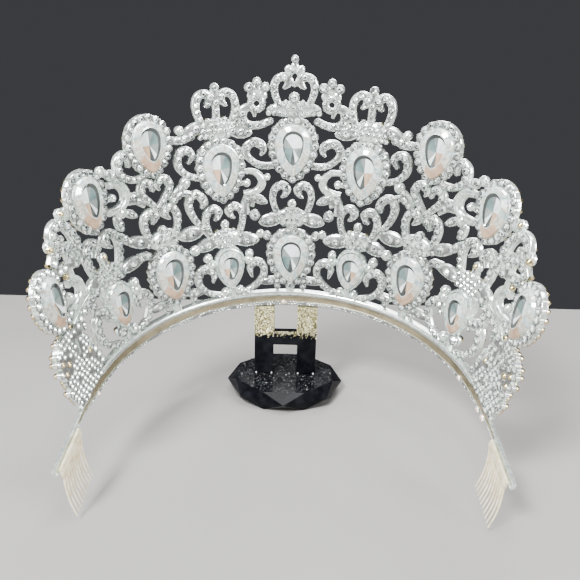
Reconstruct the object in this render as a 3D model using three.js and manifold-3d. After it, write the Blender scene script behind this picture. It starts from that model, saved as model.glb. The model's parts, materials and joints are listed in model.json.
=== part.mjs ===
/**
 * A crystal-set tiara on a small display stand.
 *
 * Millimetres, +Z up.  The origin is the middle of the underside of the stand's
 * base.  The tiara is a U-shaped band with an openwork wall of scrolls standing
 * on it.  The middle of the band rests on the two posts of the stand, and the two
 * ends come forward (-Y) and down, so that the side combs reach the table.
 *
 * The wall is drawn flat first, in three coordinates:
 *   s  along the band, from its middle (positive to the right)
 *   h  up the wall, from the lower edge of the band
 *   f  relief, positive towards the hollow (front) side
 * and is then bent onto the band's plan curve.
 */
import * as THREE from 'three';
import { ConvexGeometry } from 'three/addons/geometries/ConvexGeometry.js';
import { mergeVertices } from 'three/addons/utils/BufferGeometryUtils.js';
import Module from 'manifold-3d';

const wasm = await Module();
wasm.setup();

// ---------------------------------------------------------------- dimensions

/** The plan of the band: half a circle, then a straight leg at each side. */
const BAND_RADIUS = 66;
const ARC_HALF = BAND_RADIUS * Math.PI / 2;
const BAND_HALF = 137;

/** The wall leans outward, and the whole tiara is tipped forward on its stand. */
const FLARE = THREE.MathUtils.degToRad(7.7);
const TILT = THREE.MathUtils.degToRad(15.3);
const BAND_LIFT = 39.4;

/** It sits a little to the right of the middle of its stand. */
const SEAT_SHIFT = 1.5;

/** The band is a thin strip; the foot rail of the openwork stands on it. */
const BAND = { low: 0.6, high: 5, back: -0.9, front: 0.7 };
const RAIL = { low: 5.3, high: 7.4, back: -1.2, front: 1.7, half: 93 };

/** Towards its ends the band narrows: each row is [distance along it, lower edge, upper edge]. */
const BAND_EDGES = [[97, 0.6, 5], [109, 2.7, 5], [116, 3, 5], [124, 3, 5.3], [137, 3, 5.2]];
const STRIP_PIECE = 8;

/** The casting, its raised pear settings, and the pocket for each stone. */
const CAST = { back: -1, front: 1, raised: 1.7 };
const POCKET = { floor: -0.1, clearance: 0.35, lift: 0.3 };

/** Stones: parts of the setting's size, the rise of their table, their girdle and height. */
const LARGE_STONE = {
  x: 0.67, y: 0.75, tableX: 0.34, tableY: 0.42, tableRise: 0.065, girdle: 1.5, height: 3.6,
};
const SMALL_STONE = {
  x: 0.85, y: 0.88, tableX: 0.45, tableY: 0.5, tableRise: 0.03, girdle: 1.3, height: 3,
};

/** The stand: a faceted octagonal base and an upright plate shaped like an H. */
const STAND = {
  height: 8.2,
  girdleHeight: 4.4,
  topRadius: 22.7,
  girdleRadius: 25.7,
  footRadius: 22.2,
};
const UPRIGHT = { width: 27, post: 8.3, depth: 4.4, barLow: 21.9, barHigh: 28.1, clearance: 0.3 };

/** Side combs: a spine inside each end of the band, and a row of curved teeth. */
const COMB = { start: 119, end: 136, low: 1.8, high: 4.6, back: 1, front: 1.9 };
const TOOTH = { count: 10, inset: 0.8, sides: 6, wire: 0.4, steps: 4, drop: 14.6, curl: 3.1 };

/** A tooth's line: each row is [part of the curl, part of the drop]. */
const TOOTH_LINE = [[0, 0], [0.12, 0.34], [0.42, 0.68], [1, 1]];

/** Outlines: corners of a pear, pieces of a heart lobe, and sides of a small and a large disc. */
const PEAR_CORNERS = 12;
const PEAR_TAPER = 0.68;
const LOBE_PIECES = 6;
const DISC_SIDES = { smallRadius: 1.5, small: 5, largeRadius: 9, large: 10 };

/** Corners closer than this are one corner. */
const WELD = 1e-4;

// -------------------------------------------------------------- the bent wall

/** The band's plan at s: the point, and the direction that faces out of the U. */
function planAt(s) {
  const side = Math.sign(s) || 1;
  const reach = Math.abs(s);
  const angle = Math.min(reach, ARC_HALF) / BAND_RADIUS;
  const leg = Math.max(reach - ARC_HALF, 0);
  return {
    x: side * BAND_RADIUS * Math.sin(angle),
    y: -BAND_RADIUS * (1 - Math.cos(angle)) - leg,
    outX: side * Math.sin(angle),
    outY: Math.cos(angle),
  };
}

/** A point of the wall in the tiara's own frame. */
function wallPoint(s, h, f) {
  const plan = planAt(s);
  const out = h * Math.sin(FLARE) - f * Math.cos(FLARE);
  return new THREE.Vector3(
    plan.x + plan.outX * out,
    plan.y + plan.outY * out,
    h * Math.cos(FLARE) + f * Math.sin(FLARE),
  );
}

/** A frame that stands on the wall: x along it, y up it, z out of its front. */
function wallFrame(s, h, f, lean) {
  const plan = planAt(s);
  const along = new THREE.Vector3(plan.outY, -plan.outX, 0);
  const up = new THREE.Vector3(
    plan.outX * Math.sin(FLARE),
    plan.outY * Math.sin(FLARE),
    Math.cos(FLARE),
  );
  const front = new THREE.Vector3().crossVectors(along, up);
  return new THREE.Matrix4()
    .makeBasis(along, up, front)
    .setPosition(wallPoint(s, h, f))
    .multiply(new THREE.Matrix4().makeRotationZ(-THREE.MathUtils.degToRad(lean)));
}

/** How much longer the wall is at height h than the band is at its foot. */
function spreadAt(s, h) {
  return Math.abs(s) < ARC_HALF ? 1 + h * Math.sin(FLARE) / BAND_RADIUS : 1;
}

/** Tips the tiara forward, and lifts it so that its band is on the posts. */
const SEAT = new THREE.Matrix4()
  .makeTranslation(SEAT_SHIFT, 0, BAND_LIFT)
  .multiply(new THREE.Matrix4().makeRotationX(TILT));

// ------------------------------------------------------------- flat outlines

/** The outline of a ribbon through points [s, h, width], along a smooth curve. */
function ribbon(points, samples) {
  const curve = new THREE.SplineCurve(points.map(([s, h]) => new THREE.Vector2(s, h)));
  const left = [];
  const right = [];
  for (let i = 0; i <= samples; i += 1) {
    const t = i / samples;
    const at = curve.getPoint(t);
    const way = curve.getTangent(t);
    const place = t * (points.length - 1);
    const index = Math.min(Math.floor(place), points.length - 2);
    const width = THREE.MathUtils.lerp(points[index][2], points[index + 1][2], place - index);
    const offset = new THREE.Vector2(-way.y, way.x).multiplyScalar(width / 2);
    left.push(at.clone().add(offset));
    right.push(at.clone().sub(offset));
  }
  return [...left, ...right.reverse()];
}

/** Puts an outline drawn in true millimetres onto the flat wall at row (s, h). */
function placeOnWall(outline, { s, h, lean = 0 }) {
  const turn = THREE.MathUtils.degToRad(lean);
  return outline.map((point) => {
    const turned = point.clone().rotateAround(new THREE.Vector2(), -turn);
    const height = h + turned.y;
    return new THREE.Vector2(s + turned.x / spreadAt(s, height), height);
  });
}

/** The corners of a pointed leaf: parts of its length, and of its width. */
const LEAF_CORNERS = [
  [-0.5, 0], [-0.25, -0.42], [0.12, -0.48], [0.5, 0], [0.12, 0.48], [-0.25, 0.42],
];

/** A pointed leaf, centred, with its length along heading (degrees). */
function leaf({ length, width, heading }) {
  const turn = THREE.MathUtils.degToRad(heading);
  return LEAF_CORNERS.map(([along, across]) => new THREE.Vector2(along * length, across * width)
    .rotateAround(new THREE.Vector2(), turn));
}

/** A round bead, or a dome when it is wider than it is tall. */
function disc({ r, tall = r }) {
  const { smallRadius, small, largeRadius, large } = DISC_SIDES;
  const sides = Math.round(THREE.MathUtils.mapLinear(r, smallRadius, largeRadius, small, large));
  return roundOutline(r, tall, sides, 0.25);
}

/** An ellipse as corners, turned by a part of one side. */
function roundOutline(wide, tall, sides, turn) {
  return Array.from({ length: sides }, (_, i) => {
    const angle = 2 * Math.PI * (i + turn) / sides;
    return new THREE.Vector2(wide * Math.cos(angle), tall * Math.sin(angle));
  });
}

/** A pear, round end up and point down, centred on its box. */
function pear(width, height) {
  const radius = width / 2;
  const drop = height - radius;
  const centre = height / 2 - radius;
  return Array.from({ length: PEAR_CORNERS }, (_, i) => {
    const angle = 2 * Math.PI * i / PEAR_CORNERS - Math.PI / 2;
    const depth = -Math.sin(angle);
    if (depth <= 0) {
      return new THREE.Vector2(radius * Math.cos(angle), centre - radius * depth);
    }
    const side = i === 0 ? 0 : Math.sign(Math.cos(angle));
    const reach = Math.max(1 - depth ** 2, 0) ** PEAR_TAPER;
    return new THREE.Vector2(side * radius * reach, centre - drop * depth);
  });
}

// -------------------------------------------- where the ornaments stand (mm)
// Each row is given once, for the middle or for the right side (s above 0).

const PEARS = [
  { name: 'upper_centre', stone: LARGE_STONE, s: 0, h: 67, width: 20.6, height: 26.9, lean: 0 },
  { name: 'upper_1', stone: LARGE_STONE, s: 25.5, h: 60.2, width: 20.6, height: 27, lean: 0 },
  { name: 'upper_2', stone: LARGE_STONE, s: 49.6, h: 73.5, width: 19.8, height: 24.4, lean: 0 },
  { name: 'upper_3', stone: LARGE_STONE, s: 76.1, h: 62.1, width: 19, height: 24.4, lean: 1 },
  { name: 'lower_centre', stone: LARGE_STONE, s: 0, h: 22.3, width: 21.4, height: 28, lean: 0 },
  { name: 'lower_1', stone: SMALL_STONE, s: 24.7, h: 19.8, width: 12.6, height: 18.4, lean: 0 },
  { name: 'lower_2', stone: LARGE_STONE, s: 49, h: 22.7, width: 21, height: 27, lean: 0 },
  { name: 'lower_3', stone: SMALL_STONE, s: 73.9, h: 22.2, width: 12.8, height: 18.6, lean: -2 },
  { name: 'lower_4', stone: LARGE_STONE, s: 106.2, h: 43.2, width: 18.6, height: 23.6, lean: 4 },
];

/** One lobe of a heart scroll, from its foot up, over and into the curl. */
const HEART_LOBE = [
  [5.8, -1.3, 2.2], [7.5, 3.8, 2.4], [7.7, 7.3, 2.5], [6.4, 10, 2.8], [3.9, 10.8, 3],
  [2.1, 9.2, 3], [2.9, 7.2, 2.2], [4.3, 5.9, 0.9],
];
const HEARTS = [
  { s: 0, h: 85, wide: 0.98, tall: 0.83 },
  { s: 25.5, h: 78.6, wide: 0.97, tall: 0.96 },
  { s: 0, h: 42.3, wide: 1, tall: 1 },
  { s: 25.5, h: 35, wide: 0.98, tall: 0.98 },
  { s: 49.6, h: 40.2, wide: 0.93, tall: 0.92 },
  { s: 75, h: 37.4, wide: 1.02, tall: 1.08 },
];

/** One lobe of the narrow heart, whose two lobes meet in a point at the foot. */
const POINTED_LOBE = [
  [0.5, 0, 2], [3.6, 3.6, 2.3], [6, 7, 2.5], [5.1, 9.9, 2.8], [2.6, 10.4, 2.8], [0.9, 8.2, 2],
  [1.5, 6.6, 0.8],
];
const POINTED_HEARTS = [{ s: 49.6, h: 50.8, wide: 1, tall: 1 }];

const LEAVES = [
  { s: 18.1, h: 74.6, heading: 188, length: 9.8, width: 5.2 },
  { s: 33, h: 76.9, heading: -18, length: 10, width: 4.6 },
  { s: 8, h: 38.8, heading: -8, length: 10, width: 5.4 },
  { s: 17.6, h: 31.2, heading: 185, length: 11, width: 5.8 },
  { s: 32.7, h: 31.3, heading: -12, length: 11, width: 5.5 },
  { s: 38.9, h: 37.3, heading: 178, length: 11.4, width: 5.8 },
  { s: 59.3, h: 40.6, heading: 22, length: 11, width: 4.9 },
  { s: 64.6, h: 34, heading: 176, length: 12, width: 5 },
  { s: 82.3, h: 35.6, heading: -12, length: 8.5, width: 4.4 },
  { s: 12.2, h: 47.7, heading: 205, length: 7.6, width: 3.6 },
  { s: 15.2, h: 47.2, heading: 250, length: 5.4, width: 3 },
  { s: 60.6, h: 52.2, heading: 215, length: 6.4, width: 3.2 },
  { s: 65.5, h: 50.4, heading: 262, length: 6.6, width: 3.2 },
  { s: 8.4, h: 12, heading: 175, length: 9.6, width: 3.4 },
  { s: 5.4, h: 9.8, heading: -95, length: 4.8, width: 2.6 },
  { s: 39.8, h: 12, heading: 5, length: 9, width: 3.4 },
  { s: 41, h: 9.8, heading: -85, length: 4.6, width: 2.6 },
  { s: 57.2, h: 12, heading: 177, length: 9.8, width: 3.4 },
  { s: 53.6, h: 10, heading: -95, length: 5, width: 2.6 },
  { s: 94, h: 27.2, heading: 262, length: 5.6, width: 3 },
];

const BEADS = [
  { s: 0, h: 100.2, r: 1.5 },
  { s: 0, h: 97.6, r: 1.7 },
  { s: 2, h: 96.7, r: 1.5 },
  { s: 0, h: 86.6, r: 2.1 },
  { s: 0, h: 82.3, r: 11, tall: 3.1 },
  { s: 11.9, h: 92.3, r: 1.7 },
  { s: 14.5, h: 90.4, r: 1.8 },
  { s: 9.3, h: 90.4, r: 1.8 },
  { s: 13.6, h: 87.5, r: 1.9 },
  { s: 10.2, h: 87.5, r: 1.9 },
  { s: 11.9, h: 89.4, r: 2.2 },
  { s: 12.2, h: 84.6, r: 3.4 },
  { s: 25.4, h: 91, r: 1.6 },
  { s: 25.5, h: 76, r: 8, tall: 4.2 },
  { s: 38.3, h: 77.1, r: 1.8 },
  { s: 38.6, h: 57.8, r: 2.2 },
  { s: 16.4, h: 54.6, r: 1.6 },
  { s: 9, h: 56.6, r: 1.4 },
  { s: 14, h: 41.4, r: 2.2 },
  { s: 0, h: 45.6, r: 1.8 },
  { s: 0, h: 39.8, r: 6.6, tall: 4.2 },
  { s: 9.4, h: 32.4, r: 1.8 },
  { s: 11.9, h: 33.1, r: 1.8 },
  { s: 25.4, h: 38.6, r: 1.8 },
  { s: 25.4, h: 32.4, r: 7, tall: 4.2 },
  { s: 38.1, h: 30, r: 2.2 },
  { s: 16.5, h: 25, r: 1.8 },
  { s: 16.7, h: 22.2, r: 2.2 },
  { s: 33.3, h: 25.4, r: 2 },
  { s: 32.2, h: 22.4, r: 2.2 },
  { s: 21.1, h: 8.9, r: 2.1 },
  { s: 27, h: 8.9, r: 2.1 },
  { s: 67.8, h: 70, r: 1.9 },
  { s: 64.9, h: 67.8, r: 2 },
  { s: 49.6, h: 42, r: 1.9 },
  { s: 49.5, h: 38.3, r: 7.2, tall: 4 },
  { s: 66.2, h: 60.2, r: 1.5 },
  { s: 63.9, h: 54, r: 2.4 },
  { s: 75.4, h: 41.8, r: 2 },
  { s: 75.5, h: 34.8, r: 8.6, tall: 4.2 },
  { s: 65.2, h: 27, r: 1.9 },
  { s: 65.3, h: 24.1, r: 2.4 },
  { s: 70.2, h: 9.8, r: 2.1 },
  { s: 76.3, h: 12.2, r: 2.2 },
  { s: 84.9, h: 62.6, r: 2.3 },
  { s: 87.2, h: 63.6, r: 1.9 },
  { s: 96, h: 57, r: 2.2 },
  { s: 95.6, h: 38.9, r: 1.5 },
  { s: 93, h: 18.1, r: 2.4 },
];

/** Scrolls: a smooth stroke through points [s, h, width]. */
const SCROLLS = [
  [[7.4, 78.4, 2.4], [11, 76.7, 2.6], [14.8, 76.7, 2.9], [17, 79.2, 3.3], [16.6, 82.2, 3.2],
    [14.4, 83.4, 2.8], [13.2, 82, 2], [12.9, 79.8, 0.9]],
  [[6.6, 61, 2.3], [11, 61.1, 2.4], [14.3, 63.2, 2.4], [16.4, 66.3, 2.8], [15.4, 69.2, 3],
    [13.1, 70.2, 3.2], [10.8, 69, 3.2], [10.2, 67, 2.2], [11.3, 65.1, 0.8]],
  [[17.4, 59.2, 1.8], [13.6, 58.7, 2.3], [11.3, 56.3, 2.8], [11, 53.5, 2.9], [13, 51.1, 2.6],
    [17.6, 50.4, 2.2]],
  [[16.2, 54.7, 1.6], [20, 54.2, 1.6]],
  [[17.2, 80.4, 2.6], [20.4, 79.6, 2.4]],
  [[15.6, 50.8, 2.6], [17.2, 46.5, 3], [17.6, 42, 3.4]],
  [[33.2, 58.4, 2.2], [37, 60, 2.4], [39.6, 63, 2.5], [40.2, 66.5, 2.5], [38.8, 69.4, 3],
    [36.3, 69.4, 3], [35, 67.3, 2.2], [36.8, 64.6, 0.8]],
  [[34.4, 74.8, 3], [38.3, 73.7, 3], [42.4, 74.2, 2.6]],
  [[31.4, 34.4, 2.2], [34.2, 38.8, 2.3], [36.9, 43.3, 2.4], [38.2, 48, 2.6], [37.6, 51.5, 3],
    [35.3, 52.6, 3.1], [33.3, 51, 3.2], [32.5, 48.8, 2.8], [33.6, 46.6, 1]],
  [[37.2, 52.9, 2.4], [40.2, 54, 2.4], [43.2, 52.4, 2.4], [45.2, 49.8, 2.6]],
  [[38.6, 57.4, 2.2], [42, 55, 2.2], [44.6, 52, 2.2]],
  [[20.4, 7.6, 2.2], [15.6, 9.6, 2.3], [12, 13.2, 2.6], [10.7, 17, 2.9], [11.9, 20.2, 3.1],
    [14.8, 20.9, 3.2], [16.5, 18.8, 2.6], [16.3, 16.4, 1.9], [15.8, 14.4, 0.8]],
  [[28, 7.6, 2.2], [33.4, 9.6, 2.3], [36.8, 12.8, 2.6], [38.3, 16.7, 2.8], [37.2, 20.2, 3.1],
    [34.4, 20.9, 3.2], [32, 19, 2.7], [31.4, 16.8, 1.9], [32.4, 14.6, 0.8]],
  [[52.3, 63.4, 2.3], [56.7, 63.5, 2.4], [60.1, 65.4, 2.5], [61.6, 68.5, 2.7], [60.8, 71.8, 3],
    [58.2, 73, 3], [57, 70.9, 2.4], [57.9, 68.3, 0.8]],
  [[62, 66, 2.4], [64.4, 67.6, 2.6], [67.6, 69.6, 2.4]],
  [[66.6, 64.6, 2.2], [62.7, 63.8, 2.9], [60.8, 60.8, 3.3], [61.2, 57.6, 3.3], [63.8, 55.6, 2.8],
    [68.6, 55.4, 2.4]],
  [[66.2, 60.2, 1.5], [69.6, 59.8, 1.5]],
  [[55, 57.4, 3.2], [60.6, 58, 3]],
  [[54.4, 53.6, 2.6], [57.4, 56, 2.6], [60.6, 56.6, 2.6]],
  [[63.2, 42.2, 2.5], [65.8, 45.3, 2.6], [69.4, 47.8, 2.6]],
  [[57, 34.4, 3], [61, 34.8, 3]],
  [[69.2, 7.8, 2.2], [63.8, 9.6, 2.3], [61, 13.3, 2.6], [60, 17.3, 2.9], [61.3, 20.4, 3.1],
    [64, 21.3, 3.1], [65.9, 19.6, 2.6], [65.9, 17.8, 1.8], [65, 16.2, 0.8]],
  [[78, 8, 2.4], [83.6, 10.8, 2.5], [86.6, 15, 2.7], [87.2, 19.3, 3.1], [86, 22.8, 3.5],
    [83, 24, 3.2], [80.8, 22.4, 2.6], [81.4, 20, 1.8]],
  [[79.6, 31.8, 2.2], [79.4, 25.4, 2.2]],
  [[85.4, 32.4, 3], [86.4, 28, 3], [85.2, 23.8, 3]],
  [[82.6, 33, 3.4], [88.5, 31.6, 3.6], [93, 30, 3.8], [97.4, 28.6, 3.6]],
  [[96.4, 34, 2.4], [92.6, 33.9, 3.2], [89.5, 35.6, 3.6], [88.5, 39, 3.5], [90.4, 42, 3.4],
    [94, 42.4, 2.4]],
  [[95.6, 38.9, 1.6], [99.4, 38.6, 1.6]],
  [[92.6, 33.6, 3], [98, 34.4, 2.6], [101, 33.4, 2.4]],
  [[91, 42, 2.6], [91.4, 47, 2.6]],
  [[82, 46.6, 3], [88, 46.9, 3.2], [92.5, 48, 3], [97, 48.6, 3]],
  [[84.3, 50.6, 3], [88.4, 52.8, 3.6], [94.2, 54, 3.6], [97.8, 51.6, 3.4]],
  [[89.4, 47, 3], [88.9, 52, 3]],
  [[84.3, 46.6, 3], [84.7, 53.5, 3.2], [86.3, 58.3, 3], [89.2, 61.3, 3.2], [92.6, 61, 3.6],
    [94.2, 58.2, 3.4], [92.6, 56.2, 3], [90, 57.4, 1.2]],
  [[90.4, 9.6, 4], [93, 18, 3]],
  [[0, 5.8, 3], [0, 12, 4]],
  [[0, 39, 2.4], [0, 46, 2.4]],
  [[0, 92, 3.6], [0, 97, 3.2]],
  [[25.5, 79, 2.4], [25.5, 90.4, 2.4]],
  [[75.4, 38, 2.4], [75.4, 42, 2.4]],
  [[25.4, 36, 2.4], [25.4, 39, 2.4]],
  [[49, 5.8, 3], [49, 12, 4]],
  [[23.8, 6, 2.6], [24.4, 12.4, 2.6]],
  [[73.4, 6, 2.4], [74.2, 14.4, 3]],
];

/** The paved ends: the crest under the last pear, and the foot patch, as corners. */
const PATCHES = [
  [[94.7, 17.4], [94.6, 24], [95.2, 27.8], [98.6, 30], [102.5, 31.4], [106.2, 32.4], [110.2, 31.7],
    [114, 30], [115.9, 27], [115.8, 23], [114.9, 18]],
  [[88.6, 5.3], [90, 11.6], [91.6, 16.2], [95, 18.6], [114.2, 18.4], [115.4, 14.6], [113.6, 9.6],
    [112.6, 5.3]],
];

/** Small holes through the solid parts. */
const HOLES = [
  { s: 11.9, h: 84.5, r: 1.1 },
  { s: 0, h: 93.8, r: 1.1, tall: 1.6 },
  { s: 100.8, h: 23.2, r: 0.8, tall: 3.4 },
  { s: 109.6, h: 22.6, r: 1.6, tall: 1.3 },
];

/** Every flat outline of the middle and the right side, with its own relief. */
function drawOrnaments() {
  const drawn = [];
  const add = (outline, front, s) => drawn.push({ outline, front, paired: s !== 0 });
  for (const row of PEARS) {
    add(placeOnWall(pear(row.width, row.height), row), CAST.raised, row.s);
  }
  for (const [rows, lobe] of [[HEARTS, HEART_LOBE], [POINTED_HEARTS, POINTED_LOBE]]) {
    for (const row of rows) {
      const sized = lobe.map(([x, y, width]) => [x * row.wide, y * row.tall, width]);
      const right = ribbon(sized, LOBE_PIECES);
      const left = right.map((point) => new THREE.Vector2(-point.x, point.y)).reverse();
      add(placeOnWall(right, row), CAST.front, row.s);
      add(placeOnWall(left, row), CAST.front, row.s);
    }
  }
  for (const row of LEAVES) {
    add(placeOnWall(leaf(row), row), CAST.front, row.s);
  }
  for (const row of BEADS) {
    add(placeOnWall(disc(row), row), CAST.front, row.s);
  }
  for (const points of SCROLLS) {
    add(ribbon(points, Math.max(points.length - 2, 1)), CAST.front, points[0][0]);
  }
  for (const corners of PATCHES) {
    add(corners.map(([s, h]) => new THREE.Vector2(s, h)), CAST.front, corners[0][0]);
  }
  return drawn;
}

// -------------------------------------------------------------------- solids

/** The same geometry with only its positions. */
function stripped(geometry) {
  const plain = geometry.clone();
  plain.deleteAttribute('normal');
  plain.deleteAttribute('uv');
  return plain;
}

/** A closed mesh as a manifold-3d solid. */
function toSolid(geometry) {
  const merged = mergeVertices(stripped(geometry), WELD);
  const mesh = new wasm.Mesh({
    numProp: 3,
    vertProperties: new Float32Array(merged.attributes.position.array),
    triVerts: new Uint32Array(merged.index.array),
  });
  return new wasm.Manifold(mesh);
}

/** A manifold-3d solid as a three.js geometry. */
function toGeometry(solid) {
  const mesh = solid.getMesh();
  const geometry = new THREE.BufferGeometry();
  geometry.setAttribute('position', new THREE.BufferAttribute(mesh.vertProperties, 3));
  geometry.setIndex(new THREE.BufferAttribute(mesh.triVerts, 1));
  return geometry;
}

/** Joins solids two by two, so that no join is with a very large solid. */
function joinAll(solids) {
  let row = solids;
  while (row.length > 1) {
    const next = [];
    for (let i = 0; i < row.length; i += 2) {
      next.push(i + 1 < row.length ? row[i].add(row[i + 1]) : row[i]);
    }
    row = next;
  }
  return row[0];
}

/** A flat plate with this outline, from relief back to relief front. */
function plate(outline, back, front) {
  const shape = new THREE.Shape(outline);
  return new THREE.ExtrudeGeometry(shape, { depth: front - back, bevelEnabled: false })
    .translate(0, 0, back);
}

/** Bends a geometry of the flat wall onto the plan curve. */
function bend(geometry) {
  const position = geometry.attributes.position;
  for (let i = 0; i < position.count; i += 1) {
    const point = wallPoint(position.getX(i), position.getY(i), position.getZ(i));
    position.setXYZ(i, point.x, point.y, point.z);
  }
  return geometry;
}

/** A flat strip along the band, with enough pieces to follow the plan curve. */
function flatStrip(from, to, { low, high, back, front }) {
  const pieces = Math.ceil((to - from) / STRIP_PIECE);
  const strip = new THREE.BoxGeometry(to - from, high - low, front - back, pieces);
  return strip.translate((from + to) / 2, (low + high) / 2, (back + front) / 2);
}

/** The lower and upper edge of the band at s. */
function bandEdges(s) {
  const reach = Math.abs(s);
  const next = BAND_EDGES.findIndex(([place]) => place >= reach);
  if (next === 0) {
    return BAND_EDGES[0].slice(1);
  }
  const [from, lowFrom, highFrom] = BAND_EDGES[next - 1];
  const [to, lowTo, highTo] = BAND_EDGES[next];
  const part = (reach - from) / (to - from);
  return [
    THREE.MathUtils.lerp(lowFrom, lowTo, part),
    THREE.MathUtils.lerp(highFrom, highTo, part),
  ];
}

/** The band: a strip that narrows towards its ends. */
function buildBand() {
  const strip = flatStrip(-BAND_HALF, BAND_HALF, BAND);
  const position = strip.attributes.position;
  const middle = (BAND.low + BAND.high) / 2;
  for (let i = 0; i < position.count; i += 1) {
    const [low, high] = bandEdges(position.getX(i));
    position.setY(i, position.getY(i) < middle ? low : high);
  }
  return bend(strip);
}

/** The outline mirrored to the other side of the tiara. */
function mirrored(outline) {
  return outline.map((point) => new THREE.Vector2(-point.x, point.y)).reverse();
}

/** The openwork: every ornament soldered to the next and to the foot rail. */
function buildOpenwork() {
  const outlines = drawOrnaments();
  const plates = [];
  for (const { outline, front, paired } of outlines) {
    plates.push(toSolid(plate(outline, CAST.back, front)));
    if (paired) {
      plates.push(toSolid(plate(mirrored(outline), CAST.back, front)));
    }
  }
  let flat = joinAll(plates);
  for (const hole of HOLES) {
    const outline = placeOnWall(disc(hole), hole);
    flat = flat.subtract(toSolid(plate(outline, CAST.back - 1, CAST.front + 1)));
    flat = flat.subtract(toSolid(plate(mirrored(outline), CAST.back - 1, CAST.front + 1)));
  }
  let openwork = toSolid(bend(toGeometry(flat)))
    .add(toSolid(bend(flatStrip(-RAIL.half, RAIL.half, RAIL))));
  for (const { row, frame } of everySetting()) {
    openwork = openwork.subtract(toSolid(pocketOf(row).applyMatrix4(frame)));
  }
  return toGeometry(openwork);
}

/** Each pear setting, on both sides, with the frame that its stone stands in. */
function everySetting() {
  const settings = [];
  for (const row of PEARS) {
    const sides = row.s === 0 ? [['', 1]] : [['_left', -1], ['_right', 1]];
    for (const [suffix, side] of sides) {
      const frame = wallFrame(side * row.s, row.h, POCKET.floor, side * row.lean);
      settings.push({ row, name: `stone_${row.name}${suffix}`, frame });
    }
  }
  return settings;
}

/** The pocket that is cut out of a setting for its stone. */
function pocketOf({ width, height, stone }) {
  const outline = pear(
    width * stone.x + 2 * POCKET.clearance,
    height * stone.y + 2 * POCKET.clearance,
  );
  return plate(outline, 0, CAST.raised + stone.height);
}

/** A pear stone: a flat back, a girdle, a sloping crown and a flat table. */
function stoneGeometry({ width, height, stone }) {
  const girdle = pear(width * stone.x, height * stone.y);
  const table = pear(width * stone.tableX, height * stone.tableY);
  const low = POCKET.lift;
  const rise = height * stone.tableRise;
  const points = [
    ...girdle.map((point) => new THREE.Vector3(point.x, point.y, low)),
    ...girdle.map((point) => new THREE.Vector3(point.x, point.y, low + stone.girdle)),
    ...table.map((point) => new THREE.Vector3(point.x, point.y + rise, low + stone.height)),
  ];
  return mergeVertices(stripped(new ConvexGeometry(points)), WELD);
}

/** A side comb: side is -1 for the left one and +1 for the right one. */
function buildComb(side) {
  const ends = [side * COMB.start, side * COMB.end].sort((a, b) => a - b);
  const wire = new THREE.Shape(roundOutline(TOOTH.wire, TOOTH.wire, TOOTH.sides, 0));
  const pitch = (COMB.end - COMB.start - 2 * TOOTH.inset) / (TOOTH.count - 1);
  const depth = (COMB.front + COMB.back) / 2;
  const teeth = Array.from({ length: TOOTH.count }, (_, i) => {
    const s = side * (COMB.start + TOOTH.inset + i * pitch);
    const root = wallPoint(s, COMB.low + TOOTH.inset, depth);
    const line = TOOTH_LINE.map(([curl, drop]) => root.clone()
      .add(new THREE.Vector3(-side * curl * TOOTH.curl, 0, -drop * TOOTH.drop)));
    const path = new THREE.CatmullRomCurve3(line);
    return toSolid(new THREE.ExtrudeGeometry(wire, { steps: TOOTH.steps, extrudePath: path }));
  });
  return toGeometry(joinAll([toSolid(bend(flatStrip(...ends, COMB))), ...teeth]));
}

/** The octagonal base: a flat top and foot, and a girdle turned half a facet. */
function buildBase() {
  const ring = (radius, z, turn) => Array.from({ length: 8 }, (_, i) => {
    const angle = Math.PI * (i + turn) / 4;
    return new THREE.Vector3(radius * Math.cos(angle), radius * Math.sin(angle), z);
  });
  return new ConvexGeometry([
    ...ring(STAND.footRadius, 0, 0.5),
    ...ring(STAND.girdleRadius, STAND.girdleHeight, 0),
    ...ring(STAND.topRadius, STAND.height, 0.5),
  ]);
}

/** The upright: an H-shaped plate whose two posts end just below the band. */
function buildUpright() {
  const foot = STAND.height + UPRIGHT.clearance;
  const half = UPRIGHT.width / 2;
  const inner = half - UPRIGHT.post;
  const top = BAND_LIFT + BAND.low - UPRIGHT.clearance - UPRIGHT.depth / 2 * Math.sin(TILT);
  const outline = [
    [-half, foot], [-inner, foot], [-inner, UPRIGHT.barLow], [inner, UPRIGHT.barLow],
    [inner, foot], [half, foot], [half, top], [inner, top],
    [inner, UPRIGHT.barHigh], [-inner, UPRIGHT.barHigh], [-inner, top], [-half, top],
  ].map(([x, z]) => new THREE.Vector2(x, z));
  return plate(outline, -UPRIGHT.depth / 2, UPRIGHT.depth / 2)
    .rotateX(Math.PI / 2);
}

// ------------------------------------------------------------------ assembly

const SILVER = { color: 0xd4d3cf, roughness: 0.25, metalness: 1 };
const CRYSTAL = { color: 0xe9eff2, roughness: 0.05, metalness: 0 };
const PALE_GOLD = { color: 0xe0cfa6, roughness: 0.3, metalness: 1 };
const BLACK_ACRYLIC = { color: 0x0b0b0e, roughness: 0.1, metalness: 0 };

const tiara = new THREE.Group();
tiara.name = 'tiara';

/** Adds a named piece, with a material of its own, at its place on the stand. */
function addPiece(name, geometry, finish, seat) {
  const mesh = new THREE.Mesh(geometry, new THREE.MeshStandardMaterial(finish));
  mesh.name = name;
  mesh.applyMatrix4(seat);
  tiara.add(mesh);
}

addPiece('stand_base', buildBase(), BLACK_ACRYLIC, new THREE.Matrix4());
addPiece('stand_upright', buildUpright(), BLACK_ACRYLIC, new THREE.Matrix4());
addPiece('headband', buildBand(), SILVER, SEAT);
addPiece('openwork', buildOpenwork(), SILVER, SEAT);
addPiece('comb_left', buildComb(-1), PALE_GOLD, SEAT);
addPiece('comb_right', buildComb(1), PALE_GOLD, SEAT);
for (const { row, name, frame } of everySetting()) {
  addPiece(name, stoneGeometry(row).applyMatrix4(frame), CRYSTAL, SEAT);
}

export default tiara;
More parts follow.
